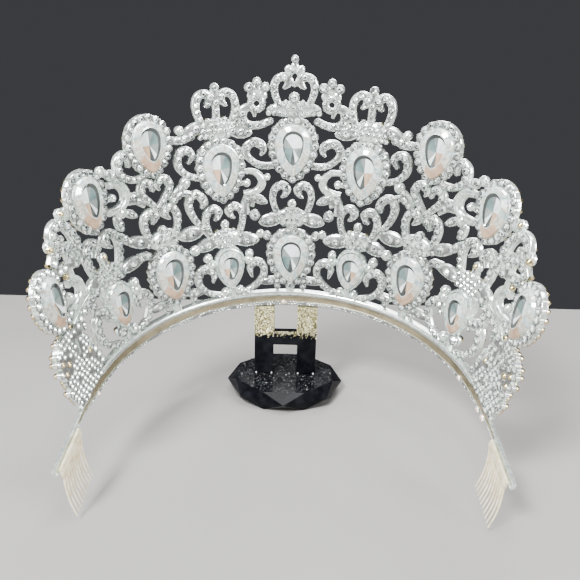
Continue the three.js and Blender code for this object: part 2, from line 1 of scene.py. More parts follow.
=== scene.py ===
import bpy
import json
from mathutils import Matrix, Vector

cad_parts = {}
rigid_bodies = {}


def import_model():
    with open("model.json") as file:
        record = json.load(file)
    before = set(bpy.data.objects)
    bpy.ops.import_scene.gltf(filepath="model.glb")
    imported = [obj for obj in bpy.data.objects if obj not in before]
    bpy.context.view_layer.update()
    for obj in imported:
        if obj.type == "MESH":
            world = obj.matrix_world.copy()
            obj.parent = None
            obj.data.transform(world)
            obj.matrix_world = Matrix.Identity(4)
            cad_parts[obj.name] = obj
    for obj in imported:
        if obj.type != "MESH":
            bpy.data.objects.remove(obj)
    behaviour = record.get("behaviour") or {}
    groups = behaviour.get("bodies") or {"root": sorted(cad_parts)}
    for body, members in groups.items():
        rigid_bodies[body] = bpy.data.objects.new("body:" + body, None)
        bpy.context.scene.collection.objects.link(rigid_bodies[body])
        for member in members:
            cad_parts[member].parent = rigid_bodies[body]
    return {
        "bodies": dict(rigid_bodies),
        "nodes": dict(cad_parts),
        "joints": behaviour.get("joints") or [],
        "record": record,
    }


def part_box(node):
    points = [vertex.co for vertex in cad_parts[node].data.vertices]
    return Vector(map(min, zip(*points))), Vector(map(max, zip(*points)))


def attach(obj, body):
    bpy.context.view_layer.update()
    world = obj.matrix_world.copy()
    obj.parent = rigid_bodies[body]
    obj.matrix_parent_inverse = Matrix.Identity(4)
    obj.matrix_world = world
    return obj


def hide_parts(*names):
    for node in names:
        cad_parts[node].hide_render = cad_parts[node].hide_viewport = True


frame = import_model()

"""A crystal-set tiara on a small display stand.

The tiara is a leaning wall of cast scrolls on a U-shaped band.  The wall is drawn
flat, in millimetres, with three coordinates: s runs along the band from its middle
(positive to the right), h climbs the wall from the band's lower edge, and f is the
relief towards the hollow side, where the crystals are.  It is then bent onto the plan
of the band and seated on the stand, in metres.
"""

import json
import logging
import math
import random
from dataclasses import dataclass, field
from enum import Enum
from functools import cache
from typing import Callable, Iterable, Sequence

import bpy
from mathutils import Matrix, Vector
from mathutils.geometry import delaunay_2d_cdt

MM = 0.001
BODY = "root"
log = logging.getLogger("tiara")

# A colour, the stops of a ramp, a point in a plane, a place (s, h) with a radius or width,
# and a point (x, y, z).
Colour = tuple[float, float, float]
Stops = Sequence[tuple[float, Colour]]
Flat = tuple[float, float]
Spot = tuple[float, float, float]
Place = tuple[float, float, float]


class Slot(Enum):
    """The material slots of the part's record."""

    SILVER = "silver"
    CRYSTAL = "crystal"
    GOLD = "pale_gold"
    ACRYLIC = "black_acrylic"


class Face(Enum):
    """What the front of a scroll carries."""

    CRYSTALS = "a row of small crystals"
    PLAIN = "bare polished metal"


# ------------------------------------------------------------------- finishes


class Shade:
    """One node material while it is being made."""

    def __init__(self, name: str) -> None:
        """Starts a material that has only its shader.

        Args:
            name: the material's name.
        """
        self.material = bpy.data.materials.new(name)
        self.material.use_nodes = True
        self.tree = self.material.node_tree
        self.shader = self.tree.nodes["Principled BSDF"]
        self.place = self.tree.nodes.new("ShaderNodeTexCoord").outputs["Object"]

    def set(self, **values: float) -> None:
        """Sets values that are the same all over, on the shader itself.

        Args:
            values: the shader's inputs, with _ in place of each space.
        """
        for name, value in values.items():
            self.shader.inputs[name.replace("_", " ")].default_value = value

    def node(self, kind: str, **inputs: float) -> bpy.types.Node:
        """Adds a node and sets its inputs.

        Args:
            kind: the node's type.
            inputs: values for its inputs, with _ in place of each space.

        Returns:
            The new node.
        """
        made = self.tree.nodes.new(kind)
        for name, value in inputs.items():
            made.inputs[name.replace("_", " ")].default_value = value
        return made

    def link(self, source: bpy.types.NodeSocket, target: bpy.types.NodeSocket) -> None:
        """Links two sockets."""
        self.tree.links.new(source, target)

    def noise(self, grain: float, detail: float = 3.0) -> bpy.types.NodeSocket:
        """Adds a noise over the piece.

        Args:
            grain: the size of one grain, in millimetres.
            detail: how many finer layers it has.

        Returns:
            The socket with the noise, from 0 to 1.
        """
        made = self.node("ShaderNodeTexNoise", Scale=1 / (grain * MM), Detail=detail)
        self.link(self.place, made.inputs["Vector"])
        return made.outputs["Fac"]

    def cells(self, size: float) -> bpy.types.NodeOutputs:
        """Adds a pattern of cells over the piece, each with three values of its own.

        Args:
            size: the size of one cell, in millimetres.

        Returns:
            The sockets Red, Green and Blue with the values, from 0 to 1.
        """
        made = self.node("ShaderNodeTexVoronoi", Scale=1 / (size * MM))
        self.link(self.place, made.inputs["Vector"])
        values = self.node("ShaderNodeSeparateColor")
        self.link(made.outputs["Color"], values.inputs["Color"])
        return values.outputs

    def ramp(self, source: bpy.types.NodeSocket, stops: Stops) -> bpy.types.NodeSocket:
        """Turns a value into a colour.

        Args:
            source: the value, from 0 to 1.
            stops: each place along the ramp, with its colour.

        Returns:
            The socket with the colour.
        """
        made = self.tree.nodes.new("ShaderNodeValToRGB")
        band = made.color_ramp.elements
        while len(band) < len(stops):
            band.new(0.5)
        for element, (place, colour) in zip(band, stops):
            element.position = place
            element.color = (*colour, 1.0)
        self.link(source, made.inputs["Fac"])
        return made.outputs["Color"]

    def range(self, source: bpy.types.NodeSocket, low: float, high: float) -> bpy.types.NodeSocket:
        """Maps a value from 0 to 1 onto low to high.

        Args:
            source: the value.
            low: the result at 0.
            high: the result at 1.

        Returns:
            The socket with the result.
        """
        made = self.node("ShaderNodeMapRange", To_Min=low, To_Max=high)
        self.link(source, made.inputs["Value"])
        return made.outputs["Result"]

    def bump(self, source: bpy.types.NodeSocket, depth: float, strength: float) -> None:
        """Raises the surface by a value.

        Args:
            source: the height, from 0 to 1.
            depth: what 1 stands for, in millimetres.
            strength: how much of it shows.
        """
        made = self.node("ShaderNodeBump", Strength=strength, Distance=depth * MM)
        self.link(source, made.inputs["Height"])
        self.link(made.outputs["Normal"], self.shader.inputs["Normal"])

    def colour(self, source: bpy.types.NodeSocket) -> None:
        """Gives the surface its colour."""
        self.link(source, self.shader.inputs["Base Color"])

    def roughness(self, source: bpy.types.NodeSocket) -> None:
        """Gives the surface its roughness."""
        self.link(source, self.shader.inputs["Roughness"])


@dataclass(frozen=True)
class PlateFinish:
    """Plated metal: bright, with soft clouds in its tone and a fine cast grain."""

    name: str
    light: Colour
    dark: Colour
    metal: float = 1.0
    smooth: float = 0.13
    worn: float = 0.34
    grain: float = 0.5
    depth: float = 0.05

    def make(self) -> bpy.types.Material:
        """Makes the material.

        Returns:
            The material, with the finish's name.
        """
        shade = Shade(self.name)
        shade.set(Metallic=self.metal)
        clouds = shade.noise(self.grain * 5)
        shade.colour(shade.ramp(clouds, [(0.35, self.dark), (0.62, self.light)]))
        shade.roughness(shade.range(clouds, self.worn, self.smooth))
        shade.bump(shade.noise(self.grain), self.depth, 0.5)
        return shade.material


@dataclass(frozen=True)
class BrilliantFinish:
    """Small foiled crystals, whose facets are each painted lighter or darker than the next: painted glints
    and reflections.
    """

    name: str
    stops: Stops
    cell: float
    metal: float = 0.35
    rough: float = 0.05

    def make(self) -> bpy.types.Material:
        """Makes the material.

        Returns:
            The material, with the finish's name.
        """
        shade = Shade(self.name)
        shade.set(Metallic=self.metal, Roughness=self.rough, IOR=1.6, Coat_Weight=0.6, Coat_Roughness=0.03)
        shade.colour(shade.ramp(shade.cells(self.cell)["Red"], self.stops))
        return shade.material


@dataclass(frozen=True)
class GlassFinish:
    """The polished face of a foiled glass stone, with faint clouds of colour."""

    name: str
    tone: Colour
    tint: Colour
    grain: float = 5.0
    metal: float = 0.15
    rough: float = 0.1

    def make(self) -> bpy.types.Material:
        """Makes the material.

        Returns:
            The material, with the finish's name.
        """
        shade = Shade(self.name)
        shade.set(Metallic=self.metal, Roughness=self.rough, IOR=1.5, Coat_Weight=0.3, Coat_Roughness=0.02)
        clouds = shade.noise(self.grain, 2.0)
        shade.colour(shade.ramp(clouds, [(0.36, self.tint), (0.6, self.tone)]))
        shade.bump(shade.noise(0.9, 1.0), 0.04, 0.25)
        return shade.material


@dataclass(frozen=True)
class AcrylicFinish:
    """Glossy black acrylic, with faint smears in its gloss."""

    name: str
    tone: Colour = (0.002, 0.002, 0.003)
    smear: Colour = (0.006, 0.0065, 0.008)

    def make(self) -> bpy.types.Material:
        """Makes the material.

        Returns:
            The material, with the finish's name.
        """
        shade = Shade(self.name)
        shade.set(IOR=1.2, Specular_IOR_Level=0.25)
        clouds = shade.noise(4.0)
        shade.colour(shade.ramp(clouds, [(0.4, self.tone), (0.7, self.smear)]))
        shade.roughness(shade.range(clouds, 0.06, 0.2))
        return shade.material


@dataclass(frozen=True)
class GlitterFinish:
    """Loose glitter: tiny flakes, each with its own tone, partly its colour and partly painted shade and
    glints.
    """

    name: str
    stops: Stops
    flake: float
    metal: float

    def make(self) -> bpy.types.Material:
        """Makes the material.

        Returns:
            The material, with the finish's name.
        """
        shade = Shade(self.name)
        shade.set(Metallic=self.metal, Roughness=0.25)
        flakes = shade.cells(self.flake)
        shade.colour(shade.ramp(flakes["Green"], self.stops))
        shade.bump(flakes["Blue"], 0.25, 0.7)
        return shade.material


@dataclass(frozen=True)
class FloorFinish:
    """A plain matt surface: a mid grey, which the lights make pale."""

    name: str
    tone: Colour = (0.19, 0.185, 0.18)
    shade_tone: Colour = (0.178, 0.174, 0.17)

    def make(self) -> bpy.types.Material:
        """Makes the material.

        Returns:
            The material, with the finish's name.
        """
        shade = Shade(self.name)
        shade.set(Roughness=0.85)
        shade.colour(shade.ramp(shade.noise(60.0), [(0.3, self.shade_tone), (0.7, self.tone)]))
        return shade.material


class Look(Enum):
    """The finishes of the object and of the floor."""

    SILVER = PlateFinish(
        "silver_plate", (0.93, 1.0, 0.96), (0.55, 0.62, 0.58), metal=0.8, smooth=0.1, worn=0.3, grain=0.3
    )
    # Painted shade: a dark metal laid on cup walls, on the floors and crowns under crystals, and on the
    # band's bead shelf, where shade falls between parts.
    PAINTED_SHADE = PlateFinish("painted_recess_shade", (0.2, 0.2, 0.2), (0.1, 0.1, 0.1), metal=0.5, smooth=0.4, worn=0.6)
    CUP = PlateFinish(
        "silver_cups", (0.94, 1.0, 0.95), (0.52, 0.58, 0.54), metal=0.8, smooth=0.1, worn=0.25, grain=0.3
    )
    # Painted reflection: the band's warm tan tone stands in for a wooden table reflected in its polished
    # silver face.
    BAND_WOOD_REFLECTION = PlateFinish(
        "polished_band_painted_reflection", (0.44, 0.37, 0.24), (0.28, 0.24, 0.15), metal=0.75, smooth=0.18, worn=0.28,
        grain=0.9, depth=0.02
    )
    GOLD = PlateFinish("gold_backs", (0.8, 0.66, 0.4), (0.6, 0.47, 0.24))
    COMB = PlateFinish("comb_wire", (0.95, 0.86, 0.62), (0.7, 0.58, 0.36), metal=0.5)
    SOLDER = PlateFinish("solder", (0.86, 0.76, 0.66), (0.6, 0.5, 0.42), metal=0.6, smooth=0.3, worn=0.45)
    # Painted glints: random light and dark facets stand in for the sparkle of the foiled crowns.
    CHATON_PAINTED_GLINTS = BrilliantFinish(
        "crystal_crowns_painted_glints",
        ((0.0, (0.04, 0.05, 0.05)), (0.3, (0.26, 0.29, 0.27)), (0.42, (0.8, 0.89, 0.85)),
         (1.0, (0.95, 1.0, 0.98))),
        cell=0.75, metal=0.4,
    )
    # Painted shade: the middle of each small crystal, mostly dark.
    CHATON_MIDDLE_PAINTED_SHADE = BrilliantFinish(
        "crystal_middles_painted_shade",
        ((0.0, (0.03, 0.035, 0.04)), (0.5, (0.16, 0.18, 0.19)), (0.75, (0.5, 0.55, 0.55)),
         (1.0, (0.96, 0.96, 0.95))),
        cell=0.8,
    )
    STONE_RIM = GlassFinish(
        "stone_crown", (0.8, 0.87, 0.83), (0.46, 0.55, 0.53), grain=1.0, metal=0.45, rough=0.14
    )
    # Painted light: the cool and warm crown facets and the bright, pale, blue, grey, dark and peach back
    # facets stand in for glints, reflections and shade in a clear foiled stone.
    CROWN_PAINTED_COOL_REFLECTION = GlassFinish(
        "stone_cool_facet", (0.62, 0.74, 0.73), (0.33, 0.44, 0.45), grain=1.0, metal=0.5, rough=0.12
    )
    CROWN_PAINTED_WARM_REFLECTION = GlassFinish(
        "stone_warm_facet", (0.76, 0.76, 0.68), (0.48, 0.46, 0.39), grain=1.0, metal=0.5, rough=0.12
    )
    STONE_LIGHT = GlassFinish("stone_bright_facet", (0.93, 0.97, 1.0), (0.8, 0.88, 0.93))
    STONE_PALE = GlassFinish("stone_pale_facet", (0.78, 0.84, 0.83), (0.62, 0.7, 0.69))
    STONE_BLUE = GlassFinish("stone_blue_facet", (0.14, 0.215, 0.21), (0.08, 0.13, 0.13))
    STONE_GREY = GlassFinish("stone_grey_facet", (0.24, 0.275, 0.265), (0.14, 0.165, 0.16))
    STONE_DARK = GlassFinish("stone_dark_facet", (0.06, 0.068, 0.066), (0.03, 0.034, 0.034))
    STONE_PEACH = GlassFinish("stone_peach_facet", (0.5, 0.34, 0.23), (0.36, 0.25, 0.17), grain=2.5)
    ACRYLIC = AcrylicFinish("black_acrylic")
    # Each glitter's tones are partly its own colour and partly painted light: the darkest flakes painted
    # shade, the brightest painted glints.
    BLACK_GLITTER = GlitterFinish(
        "black_glitter_and_painted_glints",
        ((0.0, (0.008, 0.008, 0.01)), (0.75, (0.02, 0.022, 0.022)), (0.93, (0.07, 0.075, 0.075)),
         (1.0, (0.22, 0.23, 0.22))),
        flake=0.6, metal=0.4,
    )
    GOLD_GLITTER = GlitterFinish(
        "gold_glitter_and_painted_glints",
        ((0.0, (0.05, 0.045, 0.015)), (0.3, (0.2, 0.18, 0.07)), (0.5, (0.48, 0.43, 0.2)),
         (0.75, (0.7, 0.65, 0.38)), (1.0, (0.92, 0.9, 0.68))),
        flake=0.45, metal=0.35,
    )
    GLUE = GlassFinish(
        "dried_glue", (0.62, 0.62, 0.62), (0.42, 0.43, 0.44), grain=1.0, metal=0.0, rough=0.25
    )
    FLOOR = FloorFinish("pale_floor")


@cache
def material(look: Look) -> bpy.types.Material:
    """The material of a finish, made when it is first asked for."""
    return look.value.make()


# ----------------------------------------------------------- the bent wall


@dataclass(frozen=True)
class Wall:
    """The plan, lean and seat of the tiara's wall, in millimetres."""

    radius: float = 66.0
    flare: float = math.radians(7.7)
    tilt: float = math.radians(15.3)
    lift: float = 39.4
    shift: float = 1.5

    @property
    def arc_half(self) -> float:
        """How far along the band its half circle ends."""
        return self.radius * math.pi / 2

    def spread(self, s: float, h: float) -> float:
        """How much longer the wall is at height h than the band at its foot."""
        return 1 + h * math.sin(self.flare) / self.radius if abs(s) < self.arc_half else 1.0

    def _plan(self, s: float) -> tuple[float, float, float, float]:
        """Finds a point of the band's plan.

        Args:
            s: the place along the band.

        Returns:
            The point's x and y, and the x and y of the direction out of the U.
        """
        side = -1 if s < 0 else 1
        angle = min(abs(s), self.arc_half) / self.radius
        leg = max(abs(s) - self.arc_half, 0)
        x = side * self.radius * math.sin(angle)
        y = -self.radius * (1 - math.cos(angle)) - leg
        return x, y, side * math.sin(angle), math.cos(angle)

    def _seat(self, x: float, y: float, z: float) -> Vector:
        """A direction or point of the tiara, turned with the tilt of its seat."""
        c, d = math.cos(self.tilt), math.sin(self.tilt)
        return Vector((x, y * c - z * d, y * d + z * c))

    def point(self, s: float, h: float, f: float) -> Vector:
        """Finds a point of the wall.

        Args:
            s: the place along the band.
            h: the height up the wall.
            f: the relief towards the hollow side.

        Returns:
            The point, in metres, in the part's frame.
        """
        x, y, out_x, out_y = self._plan(s)
        out = h * math.sin(self.flare) - f * math.cos(self.flare)
        up = h * math.cos(self.flare) + f * math.sin(self.flare)
        seated = self._seat(x + out_x * out, y + out_y * out, up)
        return (seated + Vector((self.shift, 0, self.lift))) * MM

    def run(
        self, section: Callable[[float], Sequence[Flat]], first: float, last: float, steps: int
    ) -> list[list[Vector]]:
        """Carries a section along the wall.

        Args:
            section: gives the section's corners (h, f) at s.
            first: the place where it starts.
            last: the place where it ends.
            steps: how many steps lie between them.

        Returns:
            Its corners at each place, in metres.
        """
        places = [first + (last - first) * i / steps for i in range(steps + 1)]
        return [[self.point(s, h, f) for h, f in section(s)] for s in places]

    def frame(self, s: float, h: float, f: float, lean: float = 0.0) -> Matrix:
        """Finds a frame that stands on the wall: x along it, y up it, z to the front.

        Args:
            s: the place along the band.
            h: the height up the wall.
            f: the relief.
            lean: a turn clockwise, in degrees, seen from the front.

        Returns:
            The frame as a matrix, in metres.
        """
        _, _, out_x, out_y = self._plan(s)
        along = self._seat(out_y, -out_x, 0)
        sine = math.sin(self.flare)
        up = self._seat(out_x * sine, out_y * sine, math.cos(self.flare))
        axes = Matrix((along, up, along.cross(up))).transposed().to_4x4()
        leaning = Matrix.Rotation(-math.radians(lean), 4, "Z")
        return Matrix.Translation(self.point(s, h, f)) @ axes @ leaning


# ------------------------------------------------------------ making meshes


class Draft:
    """The corners and faces of one piece, gathered before it becomes a mesh."""

    def __init__(self) -> None:
        """Starts an empty draft."""
        self.corners: list[Vector] = []
        self.faces: list[tuple[int, ...]] = []
        self.parts: list[int] = []

    def add(self, corners: Iterable[Vector], faces: Iterable[Sequence[int]], part: int = 0) -> None:
        """Adds a ready shape.

        Args:
            corners: its corners, in metres.
            faces: its faces, as numbers of its own corners.
            part: which finish it has.
        """
        base = len(self.corners)
        self.corners.extend(corners)
        for face in faces:
            self.faces.append(tuple(base + i for i in face))
            self.parts.append(part)

    def loft(
        self, rings: Sequence[Sequence[Vector]], parts: Sequence[int] = (0,), caps: bool = True
    ) -> None:
        """Joins closed rings of corners in order.

        Args:
            rings: the rings, each with as many corners as the first.
            parts: the finish of each step between two rings; the last one is used for the rest.
            caps: whether both ends are closed.
        """
        size = len(rings[0])
        base = len(self.corners)
        last = base + (len(rings) - 1) * size
        for level, start in enumerate(range(base, last, size)):
            for i in range(size):
                low, high = start + i, start + (i + 1) % size
                self.faces.append((low, high, high + size, low + size))
                self.parts.append(parts[min(level, len(parts) - 1)])
        for ring in rings:
            self.corners.extend(ring)
        if caps:
            self.faces.append(tuple(range(base + size - 1, base - 1, -1)))
            self.faces.append(tuple(range(last, last + size)))
            self.parts.extend((parts[0], parts[-1]))

    def make(
        self, name: str, slot: Slot, looks: Sequence[Look], crease: float, stands_for: str = ""
    ) -> bpy.types.Object:
        """Turns the draft into a piece of the object.

        Args:
            name: the piece's name.
            slot: the record's slot for the piece; not used.
            looks: its finishes, in the order of the parts.
            crease: the angle, in degrees, from which an edge stays sharp; 0 for flat facets.
            stands_for: the part's node that it replaces, if it does.

        Returns:
            The piece, riding on the part's body.
        """
        mesh = bpy.data.meshes.new(name)
        mesh.from_pydata(self.corners, [], self.faces)
        for look in looks:
            mesh.materials.append(material(look))
        mesh.polygons.foreach_set("material_index", self.parts)
        mesh.polygons.foreach_set("use_smooth", [crease > 0] * len(self.faces))
        mesh.update()
        if crease > 0:
            mesh.set_sharp_from_angle(angle=math.radians(crease))
        piece = bpy.data.objects.new(name, mesh)
        bpy.context.scene.collection.objects.link(piece)
        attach(piece, BODY)
        if stands_for:
            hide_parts(stands_for)
        log.info("%s: %d corners, %d faces", name, len(self.corners), len(self.faces))
        return piece


def spline(points: Sequence[tuple[float, ...]], per_span: int) -> list[tuple[float, ...]]:
    """Samples a smooth curve through points, every coordinate alike.

    Args:
        points: the points, two or more.
        per_span: how many steps lie between two points.

    Returns:
        The samples.
    """
    found = []
    last = len(points) - 1
    for step in range(last * per_span + 1):
        span = min(step // per_span, last - 1)
        t = step / per_span - span
        rows = [points[max(span - 1, 0)], points[span], points[span + 1], points[min(span + 2, last)]]
        weights = (
            ((-t + 2) * t - 1) * t / 2,
            ((3 * t - 5) * t * t + 2) / 2,
            ((-3 * t + 4) * t + 1) * t / 2,
            (t - 1) * t * t / 2,
        )
        found.append(tuple(sum(w * value for w, value in zip(weights, values)) for values in zip(*rows)))
    return found


def oval(wide: float, tall: float, sides: int) -> list[Flat]:
    """An ellipse as corners, with half its width and half its height."""
    turns = [2 * math.pi * i / sides for i in range(sides)]
    return [(wide * math.cos(a), tall * math.sin(a)) for a in turns]


def pear(width: float, height: float, sides: int, rise: float = 0.0) -> list[Flat]:
    """A pear, round end up and point down, starting at its point.

    Args:
        width: its greatest width.
        height: its height.
        sides: how many corners it has.
        rise: how far it is moved up.

    Returns:
        Its corners, counter-clockwise, centred on its box.
    """
    radius = width / 2
    centre = height / 2 - radius + rise
    found = []
    for i in range(sides):
        angle = 2 * math.pi * i / sides - math.pi / 2
        depth = -math.sin(angle)
        if depth <= 0:
            found.append((radius * math.cos(angle), centre - radius * depth))
            continue
        side = 0 if i == 0 else math.copysign(1, math.cos(angle))
        across = side * radius * max(1 - depth * depth, 0) ** 0.68
        found.append((across, centre - (height - radius) * depth))
    return found


def leaf(length: float, width: float, sides: int = 20) -> list[Flat]:
    """A pointed leaf along x, widest at its middle.

    Args:
        length: its length.
        width: its width.
        sides: how many corners it has.

    Returns:
        Its corners, counter-clockwise, centred on its middle.
    """
    found = []
    for i in range(sides):
        angle = 2 * math.pi * i / sides
        across = math.copysign(abs(math.sin(angle)) ** 1.25, math.sin(angle))
        found.append((length / 2 * math.cos(angle), width * 0.49 * across))
    return found


def turned(outline: Iterable[Flat], degrees: float) -> list[Flat]:
    """An outline turned counter-clockwise."""
    c, d = math.cos(math.radians(degrees)), math.sin(math.radians(degrees))
    return [(x * c - y * d, x * d + y * c) for x, y in outline]


def refined(loop: Sequence[Flat], step: float) -> list[Flat]:
    """Divides the sides of a loop.

    Args:
        loop: its corners.
        step: the longest that a piece of a side may be.

    Returns:
        The corners, with the new ones between them.
    """
    found = []
    for (x, y), (next_x, next_y) in zip(loop, [*loop[1:], loop[0]]):
        count = max(math.ceil(math.hypot(next_x - x, next_y - y) / step), 1)
        found += [(x + (next_x - x) * i / count, y + (next_y - y) * i / count) for i in range(count)]
    return found


def scaled(outline: Iterable[Flat], factor: float) -> list[Flat]:
    """An outline scaled about its origin."""
    return [(x * factor, y * factor) for x, y in outline]


def box_of(points: Sequence[Sequence[float]]) -> tuple[list[float], list[float]]:
    """The least and the greatest of two coordinates."""
    return [min(p[k] for p in points) for k in (0, 1)], [max(p[k] for p in points) for k in (0, 1)]


def both_sides(s: float, middle: float = 0.0) -> tuple[int, ...]:
    """Right and left, or one time only for what stands on the middle line."""
    return (1, -1) if s > middle else (1,)


def round_rings(frame: Matrix, radius: float, profile: Sequence[Flat], sides: int) -> list[list[Vector]]:
    """Finds rings of corners about a frame's z axis.

    Args:
        frame: where they stand, in metres.
        radius: the size of the whole, in millimetres.
        profile: each ring's radius and height, in parts of that size.
        sides: how many corners a ring has.

    Returns:
        The rings, in the order of the profile.
    """
    size = radius * MM
    return [
        [frame @ Vector((x * size, y * size, up * size)) for x, y in oval(wide, wide, sides)]
        for wide, up in profile
    ]


# -------------------------------------------------- where the ornaments stand


@dataclass(frozen=True)
class StoneCut:
    """A stone's cut.

    x, y, table_x and table_y are parts of the setting's width and height.  table_rise is
    how far the table is moved up, in parts of the setting's height.  girdle and height are
    in millimetres.
    """

    x: float
    y: float
    table_x: float
    table_y: float
    table_rise: float
    girdle: float
    height: float


LARGE = StoneCut(x=0.67, y=0.75, table_x=0.395, table_y=0.49, table_rise=0.045, girdle=1.5, height=3.6)
SMALL = StoneCut(x=0.85, y=0.88, table_x=0.53, table_y=0.55, table_rise=0.02, girdle=1.3, height=3.0)


@dataclass(frozen=True)
class PearRow:
    """One pear setting, in the middle or on the right, with its lean in degrees."""

    name: str
    cut: StoneCut
    s: float
    h: float
    width: float
    height: float
    lean: float = 0.0


PEARS = (
    PearRow("upper_centre", LARGE, 0, 67, 20.6, 26.9),
    PearRow("upper_1", LARGE, 25.5, 60.2, 20.6, 27),
    PearRow("upper_2", LARGE, 49.6, 73.5, 19.8, 24.4),
    PearRow("upper_3", LARGE, 76.1, 62.1, 19, 24.4, 1),
    PearRow("lower_centre", LARGE, 0, 22.3, 21.4, 28),
    PearRow("lower_1", SMALL, 24.7, 19.8, 12.6, 18.4),
    PearRow("lower_2", LARGE, 49, 22.7, 21, 27),
    PearRow("lower_3", SMALL, 73.9, 22.2, 12.8, 18.6, -2),
    PearRow("lower_4", LARGE, 106.2, 43.2, 18.6, 23.6, 4),
)

HEART_LOBE = (
    (5.8, -1.3, 2.2), (7.5, 3.8, 2.4), (7.7, 7.3, 2.5), (6.4, 10, 2.8), (3.9, 10.8, 3),
    (2.1, 9.2, 3), (2.9, 7.2, 2.2), (4.3, 5.9, 0.9),
)
POINTED_LOBE = (
    (0.5, 0, 2), (3.6, 3.6, 2.3), (6, 7, 2.5), (5.1, 9.9, 2.8), (2.6, 10.4, 2.8), (0.9, 8.2, 2),
    (1.5, 6.6, 0.8),
)
# Each heart: its lobe, s, h, and how wide and tall it is.
HEARTS = (
    (HEART_LOBE, 0, 85, 0.98, 0.83),
    (HEART_LOBE, 25.5, 78.6, 0.97, 0.96),
    (HEART_LOBE, 0, 42.3, 1, 1),
    (HEART_LOBE, 25.5, 35, 0.98, 0.98),
    (HEART_LOBE, 49.6, 40.2, 0.93, 0.92),
    (HEART_LOBE, 75, 37.4, 1.02, 1.08),
    (POINTED_LOBE, 49.6, 50.8, 1, 1),
)

# Each leaf: s, h, heading in degrees, length, width.
LEAVES = (
    (18.1, 74.6, 188, 9.8, 5.2), (33, 76.9, -18, 10, 4.6), (8, 38.8, -8, 10, 5.4),
    (17.6, 31.2, 185, 11, 5.8), (32.7, 31.3, -12, 11, 5.5), (38.9, 37.3, 178, 11.4, 5.8),
    (59.3, 40.6, 22, 11, 4.9), (64.6, 34, 176, 12, 5), (82.3, 35.6, -12, 8.5, 4.4),
    (12.2, 47.7, 205, 7.6, 3.6), (15.2, 47.2, 250, 5.4, 3), (60.6, 52.2, 215, 6.4, 3.2),
    (65.5, 50.4, 262, 6.6, 3.2), (8.4, 12, 175, 9.6, 3.4), (5.4, 9.8, -95, 4.8, 2.6),
    (39.8, 12, 5, 9, 3.4), (41, 9.8, -85, 4.6, 2.6), (57.2, 12, 177, 9.8, 3.4),
    (53.6, 10, -95, 5, 2.6), (94, 27.2, 262, 5.6, 3),
)

# Each dome: s, h, half its width, half its height.
DOMES = (
    (0, 82.3, 11, 3.1), (25.5, 76, 8, 4.2), (0, 39.8, 6.6, 4.2), (25.4, 32.4, 7, 4.2),
    (49.5, 38.3, 7.2, 4), (75.5, 34.8, 8.6, 4.2),
)

# Beads with a crystal, and plain balls: s, h, radius.
SET_BEADS = (
    (0, 100.2, 1.5), (0, 97.6, 1.7), (2, 96.7, 1.5), (0, 86.6, 2.1), (11.9, 92.3, 1.7),
    (14.5, 90.4, 1.8), (9.3, 90.4, 1.8), (13.6, 87.5, 1.9), (10.2, 87.5, 1.9), (11.9, 89.4, 2.2),
    (25.4, 91, 1.6), (14, 41.4, 2.2), (0, 45.6, 1.8), (9.4, 32.4, 1.8), (11.9, 33.1, 1.8),
    (25.4, 38.6, 1.8), (49.6, 42, 1.9), (67.8, 70, 1.9), (64.9, 67.8, 2), (75.4, 41.8, 2),
    (84.9, 62.6, 2.3), (87.2, 63.6, 1.9), (96, 57, 2.2), (93, 18.1, 2.4), (76.3, 12.2, 2.2),
)
# Crystals set the wrong way round, with their gold cones to the front: s, h, radius.
TURNED_ROUND = (
    (75.4, 42.2, 1.2), (87.6, 63.8, 1.1), (97.2, 56.6, 1.3), (94.2, 45.4, 1.1), (109.6, 22.8, 1.2),
    (113.2, 25.4, 1.1), (112.9, 21.4, 1.1), (95.6, 17.6, 1.2),
)
BALLS = (
    (38.3, 77.1, 1.8), (38.6, 57.8, 2.2), (16.4, 54.6, 1.6), (9, 56.6, 1.4), (38.1, 30, 2.2),
    (16.5, 25, 1.8), (16.7, 22.2, 2.2), (33.3, 25.4, 2), (32.2, 22.4, 2.2), (21.1, 8.9, 2.1),
    (27, 8.9, 2.1), (66.2, 60.2, 1.5), (63.9, 54, 2.4), (65.2, 27, 1.9), (65.3, 24.1, 2.4),
    (70.2, 9.8, 2.1), (95.6, 38.9, 1.5),
)


@dataclass(frozen=True)
class Stroke:
    """A scroll: a smooth stroke through points (s, h, width)."""

    face: Face
    points: tuple[Spot, ...]


